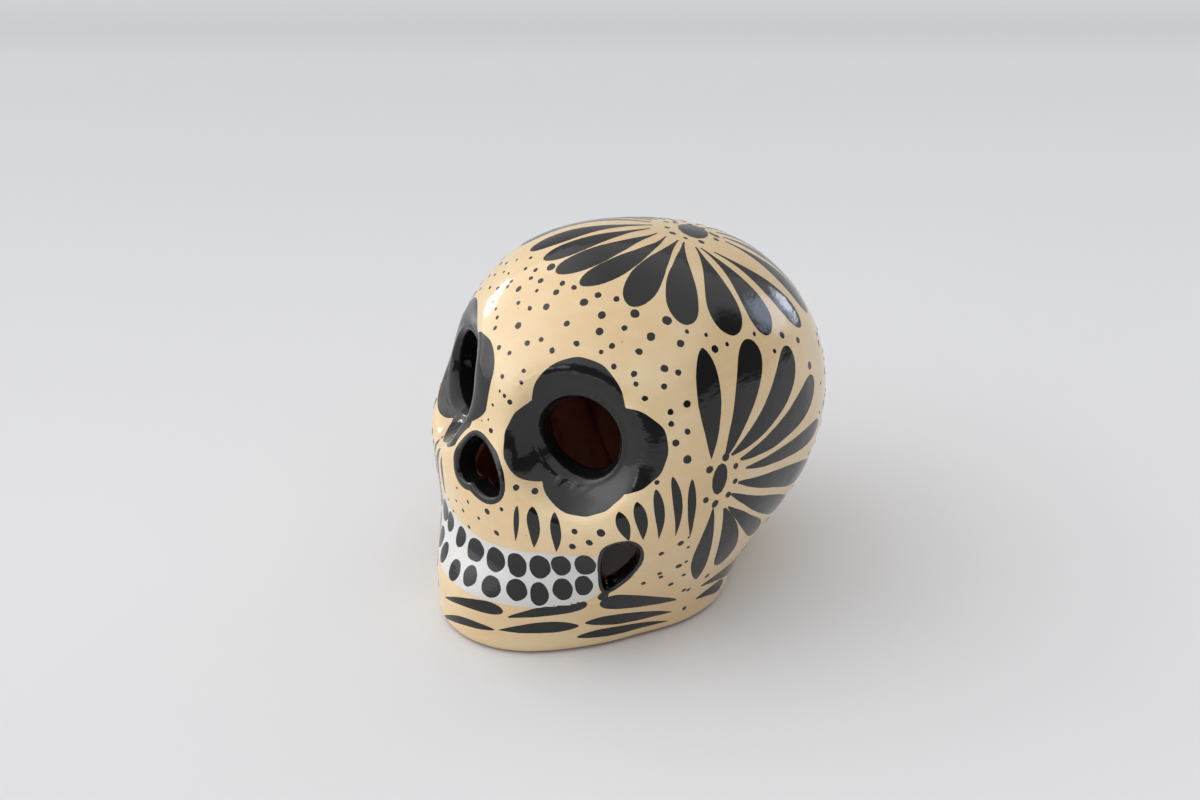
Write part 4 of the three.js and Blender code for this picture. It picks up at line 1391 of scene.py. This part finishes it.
def seam_coil():
    """The coil that fingers pressed over the seam, from just above the foot over the crown and down."""
    low, high = COIL["foot_clearance"], MIDDLE[2]
    leg = np.linspace(low, high, COIL["steps"] // 4, endpoint=False)
    arch = [(z, 0.0) for z in leg] + [(high, t) for t in np.linspace(0, math.pi, COIL["steps"] // 2)]
    arch += [(z, math.pi) for z in leg[::-1]]
    starts, ways, across, runs = [], [], [], []
    for step, (z, turn) in enumerate(arch):
        for column in range(COIL["columns"] + 1):
            share = 2 * column / COIL["columns"] - 1
            starts.append((0.0, share * COIL["width"] / 2, z))
            ways.append((math.cos(turn), 0.0, math.sin(turn)))
            across.append(share)
            runs.append(step)
    starts, ways = np.array(starts), np.array(ways)
    across, runs = np.array(across), np.array(runs)
    drift = np.sin(runs * DENTS["drift_pace"]) * DENTS["drift"]
    dents = 1 - DENTS["share"] + DENTS["share"] * np.sin(runs * DENTS["pace"] + drift)
    depth = COIL["thickness"] * np.sqrt(np.clip(1 - across**2, 0.01, 1)) * dents
    outer = cast(starts, ways, depth=WALL - COIL["sunk"])
    inner = outer - ways * (depth + COIL["sunk"])[:, None]
    inner += unit(slope(inner, body)) * unsteady(inner, 51, 0.15, 7.0)[:, None]
    width = COIL["columns"] + 1
    corner = np.array([i * width + j for i in range(len(arch) - 1) for j in range(COIL["columns"])])
    faces = np.stack([corner, corner + 1, corner + width + 1, corner + width], axis=-1)
    points, faces = sheet_between(outer, inner, faces)
    mesh = mesh_of("pressed_seam_coil", points, faces)
    return add_object("pressed_seam_coil", mesh, BARE_CLAY)


SKIN = pot()
LAYING = laying_tree()
PETAL = unit_mark("unit_petal", 22, 6, petal_width)
DROP = unit_mark("unit_drop", 20, 6, drop_width)
LEAF = unit_mark("unit_leaf", 18, 4, leaf_width)
DOT = unit_dot("unit_dot", 12)
TOOTH = unit_dot("unit_tooth", 28)

petals, crown_dots = crown_marks()
left_temple = temple_marks()
right_temple = tuple(mirrored(marks) for marks in left_temple)
blunt_strokes, pointed_strokes = stroke_marks()
dots = seen_dots(SEEN_DOTS, 21)
every_mark = petals + crown_dots + blunt_strokes + pointed_strokes + dots
every_mark += [made for marks in left_temple + right_temple for made in marks]
dots += scattered_marks(every_mark)


def dressed(piece, slot, *nodes):
    """A piece rides with the skull and hides the solids that it stands for. The slot is not used."""
    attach(piece, "root")
    if nodes:
        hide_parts(*nodes)


def join(name, *objects):
    """Several laid pieces as one."""
    with bpy.context.temp_override(active_object=objects[0], selected_editable_objects=list(objects)):
        bpy.ops.object.join()
    objects[0].name = objects[0].data.name = name
    return objects[0]


crown = join(
    "crown_flower",
    laid("crown_petals", petals, PETAL, 2, swing=0.5, swing_size=6.0),
    laid("crown_eye", crown_dots, DOT, 3),
)
temples = {}
for side, (drops, leaves, spots) in (("left", left_temple), ("right", right_temple)):
    temples[side] = join(
        f"{side}_temple_flower",
        laid("temple_petals", drops, DROP, 4, swing=0.5, swing_size=6.0),
        laid("temple_leaves", leaves, LEAF, 5, swing=0.5, swing_size=6.0),
        laid("temple_eye", spots, DOT, 6, swing=0.3),
    )
strokes = join(
    "cheek_and_jaw_strokes",
    laid("blunt_strokes", blunt_strokes, DROP, 7, swing=0.4, swing_size=5.0),
    laid("pointed_strokes", pointed_strokes, LEAF, 8, swing=0.4, swing_size=5.0),
)
tooth_ovals = laid("tooth_ovals", tooth_marks(), TOOTH, 9, swing=0.6, swing_size=2.6, base=SLIP["lift"])
strewn = laid("strewn_dots", dots, DOT, 10, swing=0.35, swing_size=1.2)
for unit_object in (PETAL, DROP, LEAF, DOT, TOOTH):
    bpy.data.objects.remove(unit_object)

dressed(SKIN, "cream_glaze", "face_shell", "cranium_shell")
dressed(seam_coil(), "bare_clay", "seam_coil")
dressed(painted("white_tooth_band", tooth_band_mask, WHITE_SLIP), "white_slip", "tooth_band")
dressed(painted("nose_lining", nose_mask, BLACK_SLIP), "black_slip", "nose_rim")
for name, side in (("left", 1), ("right", -1)):
    flower = painted(f"{name}_eye_slip", eye_flower_mask(side), BLACK_SLIP, crinkles)
    dressed(flower, "black_slip", f"eye_flower_{name}")
    rim = painted(f"{name}_slot_lining", slot_mask(side), BLACK_SLIP)
    dressed(rim, "black_slip", f"jaw_slot_rim_{name}")
    numbers = [f"temple_petal_{name}_{index:02d}" for index in range(1, 11)]
    dressed(temples[name], "black_slip", f"temple_flower_centre_{name}", *numbers)
crown_nodes = [f"crown_petal_{index:02d}" for index in range(1, 21)]
dressed(crown, "black_slip", "crown_flower_centre", *crown_nodes)
dressed(strokes, "black_slip")
dressed(tooth_ovals, "black_slip")
dressed(strewn, "black_slip")

# The stage, in metres: a pale floor that runs on into a pale wall, the light of the room and the camera

FLOOR = {"half": 1.6, "back": 1.3, "rise": 1.4, "bend": 0.5, "steps": 12}
PAPER_ROUGHNESS = 0.75
# The paper's far colour is painted shade: the same paper, made darker where it lies far behind the skull
PAPER, PAPER_SHADE, PAPER_FAR_SHADE = (224, 224, 226), (203, 204, 206), (211, 212, 214)
# The soft darker line across the floor far behind the skull: where it starts, peaks and ends
SHADE_LINE = (0.36, 0.41, 0.47)
# Between these runs behind the skull the paper darkens to its far colour: painted shade, where less light
# reaches the paper far from the skull
FALL_OFF = (0.02, 0.32)


def compass(azimuth, elevation):
    """A direction of the room: degrees round from straight ahead of the face, and up."""
    turn, rise = math.radians(azimuth), math.radians(elevation)
    return np.array([math.sin(turn) * math.cos(rise), -math.cos(turn) * math.cos(rise), math.sin(rise)])


def backdrop():
    """A floor that turns up into a wall behind the skull, as seen from the camera."""
    half, back, bend = FLOOR["half"], FLOOR["back"], FLOOR["bend"]
    profile = [(-half, 0.0), (back, 0.0)]
    for step in range(1, FLOOR["steps"] + 1):
        turn = math.pi / 2 * step / FLOOR["steps"]
        profile.append((back + bend * math.sin(turn), bend * (1 - math.cos(turn))))
    profile.append((back + bend, FLOOR["rise"]))
    turn = CAMERA["turn"]
    away, across = np.array([-math.sin(turn), math.cos(turn)]), np.array([math.cos(turn), math.sin(turn)])
    points = [(*(away * run + across * side * half), rise) for run, rise in profile for side in (-1, 1)]
    faces = [(2 * i, 2 * i + 1, 2 * i + 3, 2 * i + 2) for i in range(len(profile) - 1)]
    mesh = bpy.data.meshes.new("backdrop")
    mesh.from_pydata(points, [], faces)
    made, add, shader = new_material("pale_paper")
    run = add.vector("DOT_PRODUCT", add("ShaderNodeTexCoord").outputs["Object"], (*away, 0.0))
    start, peak, end = SHADE_LINE
    share = add.math("MINIMUM", add.soft_ramp(run, start, peak), add.soft_ramp(run, end, peak))
    paper = add.mixed(add.ramp(run, *FALL_OFF), rgb(*PAPER), rgb(*PAPER_FAR_SHADE))
    add.tree.links.new(add.mixed(share, paper, rgb(*PAPER_SHADE)), shader.inputs["Base Color"])
    shader.inputs["Roughness"].default_value = PAPER_ROUGHNESS
    add_object("backdrop", mesh, made)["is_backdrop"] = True


# The room about the skull: brightest above, with a light side, soft windows and a dark wall at one side
ROOM = {"high": 0.93, "low": 0.7, "heights": (0.1, 0.9), "dark": 0.12}
LIGHT_SIDE = {"azimuth": -42.0, "elevation": 0.0, "edge": (0.1, 0.9), "strength": 0.92}
DARK_WALL = {"middle": 85.0, "edge": (0.0, 0.25), "rise": (0.42, 0.5), "foot": (0.0, 0.05)}
# The wall's top and foot are higher about one azimuth each
DARK_TOP = {"azimuth": 125.0, "edge": (0.5, 0.9), "more": 0.14}
DARK_FOOT = {"azimuth": 106.0, "edge": (0.72, 1.0), "more": 0.26}
# Each window: azimuth, elevation, radius of its bright middle and of its soft edge, strength and colour
WINDOWS = (
    (-90.0, 9.0, 2.0, 9.0, 7.0, (0.95, 0.97, 1.0)),
    (-40.0, 28.0, 6.0, 28.0, 0.9, (1.0, 1.0, 1.0)),
    (4.0, 14.0, 2.0, 6.5, 2.5, (1.0, 1.0, 1.0)),
    (-175.0, 4.0, 2.0, 8.0, 5.0, (0.8, 0.88, 1.0)),
    (173.0, 13.0, 3.0, 10.0, 2.2, (0.6, 0.75, 1.0)),
)


def room():
    world = bpy.data.worlds.new("soft_room")
    bpy.context.scene.world = world
    world.use_nodes = True
    sky = world.node_tree.nodes["Background"]
    add = Nodes(world.node_tree)
    way = add("ShaderNodeTexCoord").outputs["Generated"]
    height = add("ShaderNodeSeparateXYZ", {0: way}).outputs[2]

    def grey(level):
        return (level, level, level, 1.0)

    def toward(azimuth, elevation=0.0):
        return add.vector("DOT_PRODUCT", way, tuple(compass(azimuth, elevation)))

    def raised(form):
        """How much higher than elsewhere the dark wall's top or foot is."""
        return add.math("MULTIPLY", add.soft_ramp(toward(form["azimuth"]), *form["edge"]), form["more"])

    below = add.soft_ramp(add.math("SUBTRACT", height, raised(DARK_TOP)), *DARK_WALL["rise"][::-1])
    above = add.soft_ramp(add.math("SUBTRACT", height, raised(DARK_FOOT)), *DARK_WALL["foot"])
    beside = add.soft_ramp(toward(DARK_WALL["middle"]), *DARK_WALL["edge"])
    wall = add.math("MULTIPLY", add.math("MULTIPLY", below, above), beside)
    plain = add.mixed(add.soft_ramp(height, *ROOM["heights"]), grey(ROOM["low"]), grey(ROOM["high"]))
    side = add.soft_ramp(toward(LIGHT_SIDE["azimuth"], LIGHT_SIDE["elevation"]), *LIGHT_SIDE["edge"])
    side = add.math("MULTIPLY", side, LIGHT_SIDE["strength"])
    plain = add.vector("ADD", plain, add.scaled((1.0, 1.0, 1.0), side))
    light = add.mixed(wall, plain, grey(ROOM["dark"]))
    for azimuth, elevation, inner, outer, strength, colour in WINDOWS:
        edge, middle = math.cos(math.radians(outer)), math.cos(math.radians(inner))
        glow = add.math("MULTIPLY", add.soft_ramp(toward(azimuth, elevation), edge, middle), strength)
        light = add.vector("ADD", light, add.scaled(colour, glow))
    # Past the backdrop the camera sees the far paper's painted shade, not the light of the room
    seen = add("ShaderNodeLightPath").outputs["Is Camera Ray"]
    world.node_tree.links.new(add.mixed(seen, light, rgb(*PAPER_FAR_SHADE)), sky.inputs["Color"])


def camera():
    place, _, _, back = camera_axes()
    made = bpy.data.objects.new("camera", bpy.data.cameras.new("camera"))
    made.location = placed(place)
    made.rotation_euler = Vector(-back).to_track_quat("-Z", "Y").to_euler()
    made.data.lens, made.data.sensor_width = CAMERA["lens"], CAMERA["film"]
    made.data.clip_start = CAMERA["nearest"] * MM
    bpy.context.scene.collection.objects.link(made)
    bpy.context.scene.camera = made


backdrop()
room()
camera()
bpy.context.scene.view_settings.view_transform = "Standard"

boxes = {"cad": CAD_BOX, "visual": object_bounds()}
{name: [list(corner) for corner in box] for name, box in boxes.items()}
